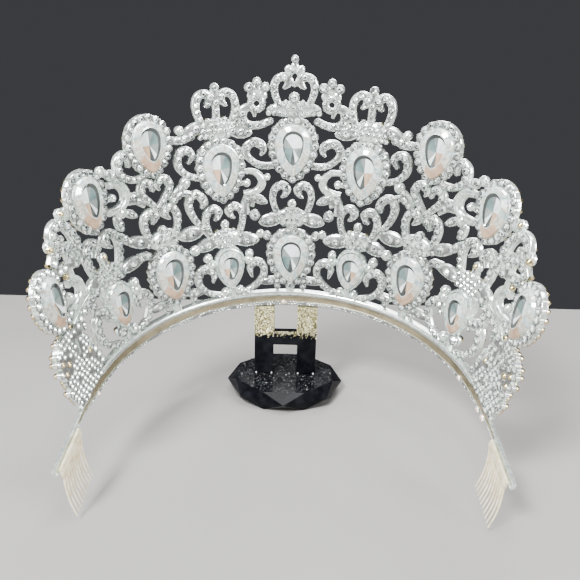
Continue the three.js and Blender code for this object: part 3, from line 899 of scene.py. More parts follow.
ROW, BARE = Face.CRYSTALS, Face.PLAIN
STROKES = (
    Stroke(ROW, ((7.4, 78.4, 2.4), (11, 76.7, 2.6), (14.8, 76.7, 2.9), (17, 79.2, 3.3), (16.6, 82.2, 3.2),
                 (14.4, 83.4, 2.8), (13.2, 82, 2), (12.9, 79.8, 0.9))),
    Stroke(ROW, ((6.6, 61, 2.3), (11, 61.1, 2.4), (14.3, 63.2, 2.4), (16.4, 66.3, 2.8), (15.4, 69.2, 3),
                 (13.1, 70.2, 3.2), (10.8, 69, 3.2), (10.2, 67, 2.2), (11.3, 65.1, 0.8))),
    Stroke(BARE, ((17.4, 59.2, 1.8), (13.6, 58.7, 2.3), (11.3, 56.3, 2.8), (11, 53.5, 2.9), (13, 51.1, 2.6),
                  (17.6, 50.4, 2.2))),
    Stroke(BARE, ((16.2, 54.7, 1.6), (20, 54.2, 1.6))),
    Stroke(ROW, ((17.2, 80.4, 2.6), (20.4, 79.6, 2.4))),
    Stroke(ROW, ((15.6, 50.8, 2.6), (17.2, 46.5, 3), (17.6, 42, 3.4))),
    Stroke(ROW, ((33.2, 58.4, 2.2), (37, 60, 2.4), (39.6, 63, 2.5), (40.2, 66.5, 2.5), (38.8, 69.4, 3),
                 (36.3, 69.4, 3), (35, 67.3, 2.2), (36.8, 64.6, 0.8))),
    Stroke(ROW, ((34.4, 74.8, 3), (38.3, 73.7, 3), (42.4, 74.2, 2.6))),
    Stroke(ROW, ((31.4, 34.4, 2.2), (34.2, 38.8, 2.3), (36.9, 43.3, 2.4), (38.2, 48, 2.6), (37.6, 51.5, 3),
                 (35.3, 52.6, 3.1), (33.3, 51, 3.2), (32.5, 48.8, 2.8), (33.6, 46.6, 1))),
    Stroke(ROW, ((37.2, 52.9, 2.4), (40.2, 54, 2.4), (43.2, 52.4, 2.4), (45.2, 49.8, 2.6))),
    Stroke(ROW, ((38.6, 57.4, 2.2), (42, 55, 2.2), (44.6, 52, 2.2))),
    Stroke(ROW, ((20.4, 7.6, 2.2), (15.6, 9.6, 2.3), (12, 13.2, 2.6), (10.7, 17, 2.9), (11.9, 20.2, 3.1),
                 (14.8, 20.9, 3.2), (16.5, 18.8, 2.6), (16.3, 16.4, 1.9), (15.8, 14.4, 0.8))),
    Stroke(ROW, ((28, 7.6, 2.2), (33.4, 9.6, 2.3), (36.8, 12.8, 2.6), (38.3, 16.7, 2.8), (37.2, 20.2, 3.1),
                 (34.4, 20.9, 3.2), (32, 19, 2.7), (31.4, 16.8, 1.9), (32.4, 14.6, 0.8))),
    Stroke(ROW, ((52.3, 63.4, 2.3), (56.7, 63.5, 2.4), (60.1, 65.4, 2.5), (61.6, 68.5, 2.7),
                 (60.8, 71.8, 3), (58.2, 73, 3), (57, 70.9, 2.4), (57.9, 68.3, 0.8))),
    Stroke(ROW, ((62, 66, 2.4), (64.4, 67.6, 2.6), (67.6, 69.6, 2.4))),
    Stroke(BARE, ((66.6, 64.6, 2.2), (62.7, 63.8, 2.9), (60.8, 60.8, 3.3), (61.2, 57.6, 3.3),
                  (63.8, 55.6, 2.8), (68.6, 55.4, 2.4))),
    Stroke(BARE, ((66.2, 60.2, 1.5), (69.6, 59.8, 1.5))),
    Stroke(ROW, ((55, 57.4, 3.2), (60.6, 58, 3))),
    Stroke(ROW, ((54.4, 53.6, 2.6), (57.4, 56, 2.6), (60.6, 56.6, 2.6))),
    Stroke(ROW, ((63.2, 42.2, 2.5), (65.8, 45.3, 2.6), (69.4, 47.8, 2.6))),
    Stroke(ROW, ((57, 34.4, 3), (61, 34.8, 3))),
    Stroke(ROW, ((69.2, 7.8, 2.2), (63.8, 9.6, 2.3), (61, 13.3, 2.6), (60, 17.3, 2.9), (61.3, 20.4, 3.1),
                 (64, 21.3, 3.1), (65.9, 19.6, 2.6), (65.9, 17.8, 1.8), (65, 16.2, 0.8))),
    Stroke(ROW, ((78, 8, 2.4), (83.6, 10.8, 2.5), (86.6, 15, 2.7), (87.2, 19.3, 3.1), (86, 22.8, 3.5),
                 (83, 24, 3.2), (80.8, 22.4, 2.6), (81.4, 20, 1.8))),
    Stroke(BARE, ((79.6, 31.8, 2.2), (79.4, 25.4, 2.2))),
    Stroke(ROW, ((85.4, 32.4, 3), (86.4, 28, 3), (85.2, 23.8, 3))),
    Stroke(ROW, ((82.6, 33, 3.4), (88.5, 31.6, 3.6), (93, 30, 3.8), (97.4, 28.6, 3.6))),
    Stroke(BARE, ((96.4, 34, 2.4), (92.6, 33.9, 3.2), (89.5, 35.6, 3.6), (88.5, 39, 3.5), (90.4, 42, 3.4),
                  (94, 42.4, 2.4))),
    Stroke(BARE, ((95.6, 38.9, 1.6), (99.4, 38.6, 1.6))),
    Stroke(ROW, ((92.6, 33.6, 3), (98, 34.4, 2.6), (101, 33.4, 2.4))),
    Stroke(BARE, ((91, 42, 2.6), (91.4, 47, 2.6))),
    Stroke(ROW, ((82, 46.6, 3), (88, 46.9, 3.2), (92.5, 48, 3), (97, 48.6, 3))),
    Stroke(ROW, ((84.3, 50.6, 3), (88.4, 52.8, 3.6), (94.2, 54, 3.6), (97.8, 51.6, 3.4))),
    Stroke(ROW, ((89.4, 47, 3), (88.9, 52, 3))),
    Stroke(ROW, ((84.3, 46.6, 3), (84.7, 53.5, 3.2), (86.3, 58.3, 3), (89.2, 61.3, 3.2), (92.6, 61, 3.6),
                 (94.2, 58.2, 3.4), (92.6, 56.2, 3), (90, 57.4, 1.2))),
    Stroke(ROW, ((90.4, 9.6, 4), (93, 18, 3))),
    Stroke(BARE, ((0, 5.8, 3), (0, 12, 4))),
    Stroke(ROW, ((0, 39, 2.4), (0, 46, 2.4))),
    Stroke(ROW, ((25.5, 79, 2.4), (25.5, 90.4, 2.4))),
    Stroke(ROW, ((75.4, 38, 2.4), (75.4, 42, 2.4))),
    Stroke(ROW, ((25.4, 36, 2.4), (25.4, 39, 2.4))),
    Stroke(BARE, ((49, 5.8, 3), (49, 12, 4))),
    Stroke(BARE, ((23.8, 6, 2.6), (24.4, 12.4, 2.6))),
    Stroke(BARE, ((73.4, 6, 2.4), (74.2, 14.4, 3))),
)

# Rings with an open middle: s, h, half the outer width and height, half the inner ones.
RINGS = (
    (12.2, 84.6, 3.4, 3.4, 1.1, 1.1),
    (0, 93.8, 2.3, 3.4, 1.0, 1.5),
)

# The paved ends of the wall: corners (s, h), and openings (s, h, half width, half height).
PATCHES = (
    (
        ((94.7, 17.4), (94.6, 24), (95.2, 27.8), (98.6, 30), (102.5, 31.4), (106.2, 32.4), (110.2, 31.7),
         (114, 30), (115.9, 27), (115.8, 23), (114.9, 18)),
        ((100.8, 23.2, 0.8, 3.4), (109.6, 22.6, 1.6, 1.3)),
    ),
    (
        ((88.6, 5.3), (90, 11.6), (91.6, 16.2), (95, 18.6), (114.2, 18.4), (115.4, 14.6), (113.6, 9.6),
         (112.6, 5.3)),
        (),
    ),
)


# ---------------------------------------------------------------- the casting


@dataclass
class Chatons:
    """Small round crystals in cups, with a gold cone at the back of each.

    They are gathered in three drafts, so that each kind is one joined piece.  nearest is
    how near two may stand, in parts of their radii together.  The row sizes are for rows
    along the scrolls, and the paving sizes for paved areas.  culet is where a crystal's
    middle, painted dark as shade, comes to a point, in parts of its radius.  taken keeps
    what is set by squares of the wall, each a cell wide.
    """

    wall: Wall
    sides: int = 9
    cone_sides: int = 8
    back: float = -1.0
    turned_front: float = 0.9
    nearest: float = 0.86
    on_middle: float = 0.3
    near_middle: float = 0.5
    row_start: float = 0.2
    row_pitch: float = 1.98
    row_width: float = 1.5
    row_radii: Flat = (0.95, 1.5)
    paving_pitch: float = 1.94
    paving_rows: float = 0.87
    culet: Place = (0.06, -0.08, 0.3)
    count: int = 0
    cell: float = 4.0
    cups: Draft = field(default_factory=Draft)
    crystals: Draft = field(default_factory=Draft)
    backs: Draft = field(default_factory=Draft)
    taken: dict[tuple[int, int], list[Spot]] = field(default_factory=dict)
    chance: random.Random = field(default_factory=lambda: random.Random(5))

    def _flat(self, s: float, h: float) -> Flat:
        """The place of a point on the unrolled wall, in true millimetres."""
        curved = min(s, self.wall.arc_half)
        return curved * self.wall.spread(0, h) + max(s - curved, 0), h

    def is_free(self, s: float, h: float, radius: float) -> bool:
        """Says whether a crystal fits here beside those already set.

        Args:
            s: the place along the band.
            h: the height up the wall.
            radius: the crystal's radius.

        Returns:
            True if it fits.
        """
        x, y = self._flat(s, h)
        column, row = int(x // self.cell), int(y // self.cell)
        for i in range(column - 1, column + 2):
            for j in range(row - 1, row + 2):
                for other_x, other_y, other in self.taken.get((i, j), ()):
                    if math.hypot(x - other_x, y - other_y) < self.nearest * (radius + other):
                        return False
        return True

    def block(self, s: float, h: float, radius: float) -> None:
        """Keeps a round place free of crystals."""
        x, y = self._flat(s, h)
        self.taken.setdefault((int(x // self.cell), int(y // self.cell)), []).append((x, y, radius))

    def set_one(self, s: float, h: float, radius: float, front: float, depth: float = 0.5) -> None:
        """Sets one crystal and its twin on the other side, if there is room.

        Args:
            s: the place along the band, 0 or more.
            h: the height up the wall.
            radius: the cup's radius.
            front: the relief that it stands on.
            depth: how far its cup goes down into the casting, in parts of its radius.
        """
        if not self.is_free(s, h, radius):
            return
        self.block(s, h, radius)
        for side in both_sides(s, self.on_middle):
            frame = self.wall.frame(side * s, h, front)
            self._add_cup(frame, radius, depth)
            self._add_crystal(frame, radius)
            self._add_cone(self.wall.frame(side * s, h, self.back), radius)
            self.count += 1

    def turn_round(self, s: float, h: float, radius: float) -> None:
        """Sets one crystal the wrong way round on each side, with its gold cone to the front.

        Args:
            s: the place along the band.
            h: the height up the wall.
            radius: the cone's radius.
        """
        self.block(s, h, radius)
        profile = ((0.95, -0.6), (0.92, 0.1), (0.68, 0.55), (0.25, 0.8))
        for side in (1, -1):
            frame = self.wall.frame(side * s, h, self.turned_front)
            self.backs.loft(round_rings(frame, radius, profile, self.cone_sides))

    def _add_cup(self, frame: Matrix, radius: float, depth: float) -> None:
        """Adds the metal cup: a wall with a rounded lip, its outer foot and inner wall in painted shade."""
        profile = ((1.0, -depth), (1.0, -0.3), (1.0, 0.1), (0.95, 0.34), (0.86, 0.36), (0.82, 0.0))
        self.cups.loft(round_rings(frame, radius, profile, self.sides), (0, 1, 0, 0, 1), caps=False)

    def _add_crystal(self, frame: Matrix, radius: float) -> None:
        """Adds the crystal: a crown of facets in painted glints, and a middle in painted shade that sinks
        to a point.

        Args:
            frame: where it stands.
            radius: the cup's radius.
        """
        rings = round_rings(frame, radius, ((0.83, 0.0), (0.73, 0.28), (0.4, 0.6)), self.sides)
        self.crystals.loft(rings, caps=False)
        point = frame @ Vector([part * radius * MM for part in self.culet])
        middle = [(i, (i + 1) % self.sides, self.sides) for i in range(self.sides)]
        self.crystals.add([*rings[-1], point], middle, 1)

    def _add_cone(self, frame: Matrix, radius: float) -> None:
        """Adds the gold cone at the back."""
        profile = ((0.92, 0.15), (0.84, -0.35), (0.55, -0.8), (0.2, -1.0))
        self.backs.loft(round_rings(frame, radius, profile, self.cone_sides))

    def follow(self, path: Sequence[Spot], front: float) -> None:
        """Sets a row of crystals along a stroke.

        Args:
            path: close points (s, h, width) of the stroke.
            front: the relief that they stand on.
        """
        least, greatest = self.row_radii
        gone, due = 0.0, self.row_start
        for (s, h, width), (next_s, next_h, _) in zip(path, path[1:]):
            radius = min(max(width * 0.5, least), greatest)
            if gone >= due:
                if width > self.row_width:
                    self.set_one(s, h, radius, front)
                due = gone + self.row_pitch * radius
            gone += math.hypot((next_s - s) * self.wall.spread(s, h), next_h - h)

    def fill(
        self, inside: Callable[[float, float], bool], box: tuple[float, float, float, float],
        radius: float, front: Callable[[float, float], float], depth: float = 0.5, stray: float = 0.05
    ) -> None:
        """Paves an area with crystals in staggered rows.

        Args:
            inside: says whether a crystal may stand at (s, h).
            box: the least s and h, and the greatest s and h.
            radius: the cup's radius.
            front: the relief at (s, h).
            depth: how far a cup goes down, in parts of its radius.
            stray: how far a crystal may stand from its place, in parts of the pitch.
        """
        low_s, low_h, high_s, high_h = box
        pitch = self.paving_pitch * radius
        for row in range(int((high_h - low_h) / (pitch * self.paving_rows)) + 1):
            h = low_h + row * pitch * self.paving_rows
            step = pitch / self.wall.spread(low_s, h)
            for i in range(int((high_s - low_s) / step) + 1):
                s = low_s + (i + row % 2 / 2) * step
                at = s + self.chance.uniform(-stray, stray) * step if s > self.near_middle else s
                up = h + self.chance.uniform(-stray, stray) * pitch
                size = radius * self.chance.uniform(0.95 - stray, 1.0)
                if inside(at, up):
                    self.set_one(max(at, 0), up, size, front(at, up), depth)

    def make(self) -> None:
        """Makes the joined pieces."""
        self.cups.make("crystal_cups", Slot.SILVER, (Look.CUP, Look.PAINTED_SHADE), 50)
        self.crystals.make("small_crystals", Slot.CRYSTAL, (Look.CHATON_PAINTED_GLINTS, Look.CHATON_MIDDLE_PAINTED_SHADE), 0)
        self.backs.make("gold_cup_backs", Slot.GOLD, (Look.GOLD,), 50)
        log.info("%d small crystals", self.count)


@dataclass
class Casting:
    """The openwork: settings, hearts, scrolls, leaves, domes, beads, rail and paved ends.

    The ring sizes are for the crystals round a large stone, and the paved sizes for the ends.
    """

    wall: Wall
    chatons: Chatons
    back: float = -1.0
    front: float = 1.0
    bare_front: float = 1.35
    bead_height: float = 0.9
    ball_height: float = 2.0
    rail_half: float = 93.0
    rail_back: float = -1.2
    rail_front: float = 1.7
    rail_low: float = 5.3
    rail_high: float = 7.4
    rail_steps: int = 120
    plate_rim: float = 0.9
    plain_rim: float = 1.5
    ring_inset: float = 1.72
    ring_count: int = 19
    ring_radius: float = 1.55
    ring_closeness: float = 0.47
    ring_front: float = 1.15
    ring_depth: float = 1.25
    scallop: float = 0.8
    open_ring_count: int = 7
    leaf_front: float = 1.1
    leaf_radius: float = 1.75
    leaf_small: float = 0.72
    leaf_places: tuple[float, ...] = (0.3, -0.3)
    dome_radius: float = 1.12
    dome_front: float = 1.3
    dome_fall: float = 0.45
    dome_edge: float = 0.3
    paved_inset: float = 0.12
    paved_grid: float = 2.2
    grid_shift: Flat = (0.37, 0.41)
    paved_edge: float = 0.35
    paved_radius: float = 1.2
    paved_depth: float = 1.5
    paved_stray: float = 0.075
    draft: Draft = field(default_factory=Draft)

    def build(self) -> bpy.types.Object:
        """Builds the whole casting and sets its crystals.

        Returns:
            The casting, which stands for the part's openwork.
        """
        for spot in TURNED_ROUND:
            self.chatons.turn_round(*spot)
        for row in PEARS:
            self._setting(row)
        for ring in RINGS:
            self._open_ring(*ring)
        for lobe, s, h, wide, tall in HEARTS:
            self._heart(lobe, (s, h), (wide, tall))
        for stroke in STROKES:
            self._stroke(stroke)
        for s, h, radius in SET_BEADS:
            self._bead(s, h, radius, self.bead_height)
            self.chatons.set_one(s, h, radius * 0.95, self.front)
        for s, h, heading, length, width in LEAVES:
            self._leaf((s, h), heading, (length, width))
        for s, h, wide, tall in DOMES:
            self._dome((s, h), (wide, tall))
        for s, h, radius in BALLS:
            self._bead(s, h, radius, self.ball_height)
        for corners, openings in PATCHES:
            self._patch(corners, openings)
        self._rail()
        # The second finish is painted shade, laid under crystals and round settings.
        looks = (Look.SILVER, Look.PAINTED_SHADE)
        return self.draft.make("openwork_casting", Slot.SILVER, looks, 45, "openwork")

    def _on_wall(self, centre: Flat, outline: Iterable[Flat], f: float, side: int = 1) -> list[Vector]:
        """An outline in true millimetres, put onto the wall about (s, h) at relief f."""
        s, h = centre
        return [self.wall.point(side * (s + x / self.wall.spread(s, h + y)), h + y, f) for x, y in outline]

    def _raise(
        self, centre: Flat, steps: Sequence[tuple[Sequence[Flat], float]], parts: Sequence[int] = (0,)
    ) -> None:
        """Adds a raised shape on both sides.

        Args:
            centre: its s and h.
            steps: its outlines from the back to the front, each with its relief.
            parts: the finish of each step.
        """
        for side in both_sides(centre[0]):
            self.draft.loft([self._on_wall(centre, outline, f, side) for outline, f in steps], parts)

    def _setting(self, row: PearRow) -> None:
        """Adds a pear setting: a plate, a floor for its ring of crystals, and a bezel.

        Args:
            row: the setting.
        """
        def outline(inset: float) -> list[Flat]:
            """The setting's outline, drawn in by some millimetres."""
            shape = pear(row.width - 2 * inset, row.height - 2.3 * inset, 48, 0.12 * inset)
            return turned(shape, -row.lean)

        wide = (row.width - row.width * row.cut.x) / 2
        large = row.cut is LARGE
        rim = self.plate_rim if large else self.plain_rim
        edge = self.scallop if large else 0.0
        steps = [(outline(edge), self.back), (outline(edge), rim - 0.3), (outline(edge + 0.25), rim)]
        if large:
            steps.append((outline(wide - 0.55), rim + 0.25))
        steps += [(outline(wide - 0.45), rim + 0.75), (outline(wide - 0.2), rim + 0.85),
                  (outline(wide - 0.05), rim + 0.6), (outline(wide + 0.1), 0.1)]
        # On a large setting, the floor for the ring of crystals is painted shade.
        self._raise((row.s, row.h), steps, (0, 0, 1, 0) if large else (0,))
        clear = [(0.1, row.cut.x * 0.5), (-0.16, row.cut.x * 0.34)]
        if large:
            self._crystal_ring(row)
        else:
            clear += [(0.12, 0.5), (-0.25, 0.3)]
        for up, reach in clear:
            self.chatons.block(row.s, row.h + row.height * up, row.width * reach)

    def _crystal_ring(self, row: PearRow) -> None:
        """Sets the ring of crystals, evenly along the pear, the first at its point.

        Args:
            row: the setting.
        """
        inset = self.ring_inset
        line = turned(pear(row.width - 2 * inset, row.height - 2.5 * inset, 192, 0.1 * inset), -row.lean)
        steps = [math.dist(a, b) for a, b in zip(line, line[1:] + line[:1])]
        pitch = sum(steps) / self.ring_count
        radius = min(self.ring_radius, pitch * self.ring_closeness)
        gone, due = 0.0, 0.0
        for (x, y), step in zip(line, steps):
            if gone >= due - 1e-6 and due < pitch * (self.ring_count - 0.5):
                s = row.s + x / self.wall.spread(row.s, row.h + y)
                if row.s > 0 or s > -1e-3:
                    self.chatons.set_one(abs(s), row.h + y, radius, self.ring_front, self.ring_depth)
                due += pitch
            gone += step

    def _open_ring(
        self, s: float, h: float, wide: float, tall: float, open_wide: float, open_tall: float
    ) -> None:
        """Adds a ring with an open middle, and keeps crystals off the opening.

        Args:
            s: the place along the band.
            h: the height up the wall.
            wide: half its outer width.
            tall: half its outer height.
            open_wide: half the width of its opening.
            open_tall: half the height of its opening.
        """
        levels = (
            (0.0, self.back), (0.0, 0.6), (0.2, 1.0), (0.8, 1.0), (1.0, 0.6), (1.0, self.back),
            (0.0, self.back),
        )
        steps = [
            (oval(wide + (open_wide - wide) * t, tall + (open_tall - tall) * t, 16), f) for t, f in levels
        ]
        for side in both_sides(s):
            rings = [self._on_wall((s, h), outline, f, side) for outline, f in steps]
            self.draft.loft(rings, caps=False)
        self.chatons.block(s, h, open_wide)
        radius = (wide - open_wide) / 2 * 0.92
        for i in range(self.open_ring_count):
            angle = 2 * math.pi * (i + 0.25) / self.open_ring_count
            across = (wide + open_wide) / 2 * math.cos(angle)
            up = (tall + open_tall) / 2 * math.sin(angle)
            self.chatons.set_one(s + across, h + up, radius, self.front)

    def _heart(self, lobe: Sequence[Spot], centre: Flat, size: Flat) -> None:
        """Adds both lobes of a heart, with a row of crystals on each.

        Args:
            lobe: the right lobe, as points (x, y, width) from the heart's foot.
            centre: the s and h of the heart's foot.
            size: how wide and tall it is, beside the lobe as drawn.
        """
        (s, h), (wide, tall) = centre, size
        for mirror in both_sides(s):
            points = [
                (s + mirror * x * wide / self.wall.spread(s, h + y * tall), h + y * tall, width)
                for x, y, width in lobe
            ]
            self._ribbon(points, Face.CRYSTALS)
            self.chatons.follow(spline(points, 12), self.front)

    def _stroke(self, stroke: Stroke) -> None:
        """Adds a scroll, with or without its row of crystals.

        Args:
            stroke: the scroll.
        """
        self._ribbon(stroke.points, stroke.face)
        if stroke.face is Face.CRYSTALS:
            self.chatons.follow(spline(stroke.points, 14), self.front)
        else:
            for s, h, width in spline(stroke.points, 2):
                self.chatons.block(s, h, width * 0.3)

    def _ribbon(self, points: Sequence[Spot], face: Face) -> None:
        """Adds a stroke with rounded shoulders, and its twin on the other side.

        Args:
            points: its points (s, h, width).
            face: what its front carries.
        """
        crown = self.bare_front if face is Face.PLAIN else self.front
        section = (
            (-1.0, self.back), (-1.0, 0.45), (-0.8, 0.85), (-0.4, crown), (0.4, crown), (0.8, 0.85),
            (1.0, 0.45), (1.0, self.back),
        )
        path = spline(points, 5)
        ways = [
            Vector((after[0] - before[0], after[1] - before[1])).normalized()
            for before, after in zip([path[0], *path[:-1]], [*path[1:], path[-1]])
        ]
        for side in both_sides(max(abs(point[0]) for point in points), 0.01):
            rings = [
                [
                    self.wall.point(side * (s - way.y * u * width / 2), h + way.x * u * width / 2, f)
                    for u, f in section
                ]
                for (s, h, width), way in zip(path, ways)
            ]
            base = len(self.draft.parts)
            self.draft.loft(rings)
            # On a stroke with crystals, the flat crown under them is painted shade; its shoulders stay
            # bright.
            if face is Face.CRYSTALS:
                for i in range(base, len(self.draft.parts) - 2):
                    self.draft.parts[i] = int((i - base) % len(section) == 3)

    def _bead(self, s: float, h: float, radius: float, height: float) -> None:
        """Adds a round bead or ball.

        Args:
            s: the place along the band.
            h: the height up the wall.
            radius: the bead's radius.
            height: how far it rises above the casting's middle.
        """
        steps = [(oval(radius * 0.9, radius * 0.9, 12), self.back)]
        for angle in (0.0, 0.35, 0.75, 1.15, 1.45):
            reach = radius * math.cos(angle)
            steps.append((oval(reach, reach, 12), 0.1 + height * math.sin(angle)))
        self._raise((s, h), steps)

    def _leaf(self, centre: Flat, heading: float, size: Flat) -> None:
        """Adds a leaf: a low ridge, with a large crystal between two small ones.

        Args:
            centre: its s and h.
            heading: where its tip points, in degrees from the band's direction.
            size: its length and width.
        """
        (s, h), (length, width) = centre, size
        outline = turned(leaf(length, width), heading)
        levels = ((1.0, self.back), (1.0, 0.5), (0.8, 0.95), (0.4, 1.2))
        # The leaf's top, under its crystals, is painted shade.
        self._raise(centre, [(scaled(outline, k), f) for k, f in levels], (0, 0, 1))
        middle = min(width * 0.36, self.leaf_radius)
        small = middle * self.leaf_small
        for along, radius in ((0.02, middle), *((place, small) for place in self.leaf_places)):
            (x, y), = turned([(along * length, 0)], heading)
            self.chatons.set_one(s + x / self.wall.spread(s, h), h + y, radius, self.leaf_front)

    def _dome(self, centre: Flat, size: Flat) -> None:
        """Adds a paved dome.

        Args:
            centre: its s and h.
            size: half its width and half its height.
        """
        (s, h), (wide, tall) = centre, size
        levels = ((0.95, self.back), (0.95, 0.4), (0.85, 0.9), (0.5, 1.35))
        self._raise(centre, [(oval(wide * k, tall * k, 24), f) for k, f in levels])

        def place(at: float, up: float) -> float:
            """How far out a place on the dome is, 1 at the edge of its paving."""
            return math.hypot((at - s) / (wide - self.dome_edge), (up - h) / (tall - self.dome_edge))

        start = 0.0 if s == 0 else s - wide
        self.chatons.fill(
            lambda at, up: place(at, up) < 1, (start, h - tall, s + wide, h + tall), self.dome_radius,
            lambda at, up: self.dome_front - self.dome_fall * place(at, up) ** 2
        )

    def _patch(self, corners: Sequence[Flat], openings: Sequence[tuple[float, ...]]) -> None:
        """Adds a paved end with its openings on each side.

        Args:
            corners: its outline, clockwise, as (s, h).
            openings: each opening's s, h, half width and half height.
        """
        for s, h, wide, tall in openings:
            steps = max(round(tall / wide), 1)
            for i in range(steps):
                self.chatons.block(s, h + (i - (steps - 1) / 2) * 2 * tall / steps, wide + 0.5)
        middle = [sum(corner[k] for corner in corners) / len(corners) for k in (0, 1)]
        inset = self.paved_inset
        rim = [(s + (middle[0] - s) * inset, h + (middle[1] - h) * inset) for s, h in corners]
        loops = [refined(rim, self.paved_grid)]
        loops += [[(s + x, h + y) for x, y in oval(wide, tall, 10)] for s, h, wide, tall in openings]
        flat, faces, edges = self._mesh_patch(loops, openings)
        count = len(flat)
        for side in (1, -1):
            there = [self.wall.point(side * s, h, f) for f in (self.front, self.back) for s, h in flat]
            # The paved front, between its crystals, is painted shade.
            self.draft.add(there, faces, 1)
            self.draft.add(there, [tuple(count + i for i in reversed(face)) for face in faces])
            self.draft.add(there, [(a, b, count + b, count + a) for a, b in edges])
        low, high = box_of(corners)

        def inside(s: float, h: float) -> bool:
            """Says whether a crystal stands on the paved end.

            Args:
                s: the place along the band.
                h: the height up the wall.

            Returns:
                True if it stands well inside the outline.
            """
            return all(
                (b[0] - a[0]) * (h - a[1]) - (b[1] - a[1]) * (s - a[0]) < -self.paved_edge * math.dist(a, b)
                for a, b in zip(corners, [*corners[1:], corners[0]])
            )

        box = (low[0] + self.paved_radius / 2, low[1] + self.paved_radius, *high)
        self.chatons.fill(
            inside, box, self.paved_radius, lambda s, h: self.front, self.paved_depth, self.paved_stray
        )

    def _mesh_patch(
        self, loops: Sequence[Sequence[Flat]], openings: Sequence[tuple[float, ...]]
    ) -> tuple[list[Flat], list[tuple[int, ...]], list[tuple[int, int]]]:
        """Fills a flat outline with small triangles, so that it can follow the bent wall.

        Args:
            loops: the outline, then the edge of each opening.
            openings: each opening's s, h, half width and half height.

        Returns:
            The corners, the triangles and the edges round the outline and the openings.
        """
        points: list[Vector] = []
        rims: list[tuple[int, int]] = []
        for loop in loops:
            base = len(points)
            points += [Vector(corner) for corner in loop]
            rims += [(base + i, base + (i + 1) % len(loop)) for i in range(len(loop))]
        step = self.paved_grid
        low, high = box_of(points)
        for i in range(1, int((high[0] - low[0]) / step) + 1):
            for j in range(1, int((high[1] - low[1]) / step) + 1):
                x, y = i - self.grid_shift[0], j - self.grid_shift[1]
                points.append(Vector((low[0] + x * step, low[1] + y * step)))
        found, _, faces, *_ = delaunay_2d_cdt(points, rims, [list(range(len(loops[0])))], 1, 1e-4)
        kept = []
        for face in faces:
            s = sum(found[i][0] for i in face) / len(face)
            h = sum(found[i][1] for i in face) / len(face)
            if all(math.hypot((s - at) / wide, (h - up) / tall) > 0.93 for at, up, wide, tall in openings):
                kept.append(tuple(face))
        ways = {(a, b) for face in kept for a, b in zip(face, face[1:] + face[:1])}
        edges = sorted((b, a) for a, b in ways if (b, a) not in ways)
        return [(p[0], p[1]) for p in found], kept, edges

    def _rail(self) -> None:
        """Adds the foot rail, a ledge with rounded edges."""
        section = (
            (self.rail_low, self.rail_back), (self.rail_low, self.rail_front - 0.3),
            (self.rail_low + 0.3, self.rail_front), (self.rail_high - 0.4, self.rail_front),
            (self.rail_high, self.rail_front - 0.4), (self.rail_high, self.rail_back),
        )
        self.draft.loft(self.wall.run(lambda s: section, -self.rail_half, self.rail_half, self.rail_steps))


# ----------------------------------------------------------------- the stones


# The finishes of a stone's facets: its crown tone, and painted reflections, glints and shade.
STONE_LOOKS = (
    Look.STONE_RIM, Look.STONE_DARK, Look.STONE_LIGHT, Look.STONE_PALE, Look.STONE_BLUE, Look.STONE_GREY,
    Look.STONE_PEACH, Look.CROWN_PAINTED_COOL_REFLECTION, Look.CROWN_PAINTED_WARM_REFLECTION,
)
# The back facets, counter-clockwise from the stone's point: where each ends, in parts of
# a turn, and its painted reflection or shade in a middle stone and in one on the right.
BACK_FACETS = (
    (0.065, Look.STONE_DARK, Look.STONE_DARK),
    (0.13, Look.STONE_PALE, Look.STONE_PEACH),
    (0.22, Look.STONE_GREY, Look.STONE_PEACH),
    (0.33, Look.STONE_PALE, Look.STONE_PALE),
    (0.42, Look.STONE_LIGHT, Look.STONE_PALE),
    (0.5, Look.STONE_LIGHT, Look.STONE_LIGHT),
    (0.58, Look.STONE_LIGHT, Look.STONE_GREY),
    (0.67, Look.STONE_LIGHT, Look.STONE_BLUE),
    (0.78, Look.STONE_GREY, Look.STONE_BLUE),
    (0.87, Look.STONE_BLUE, Look.STONE_GREY),
    (0.935, Look.STONE_BLUE, Look.STONE_PALE),
    (1.0, Look.STONE_DARK, Look.STONE_DARK),
)


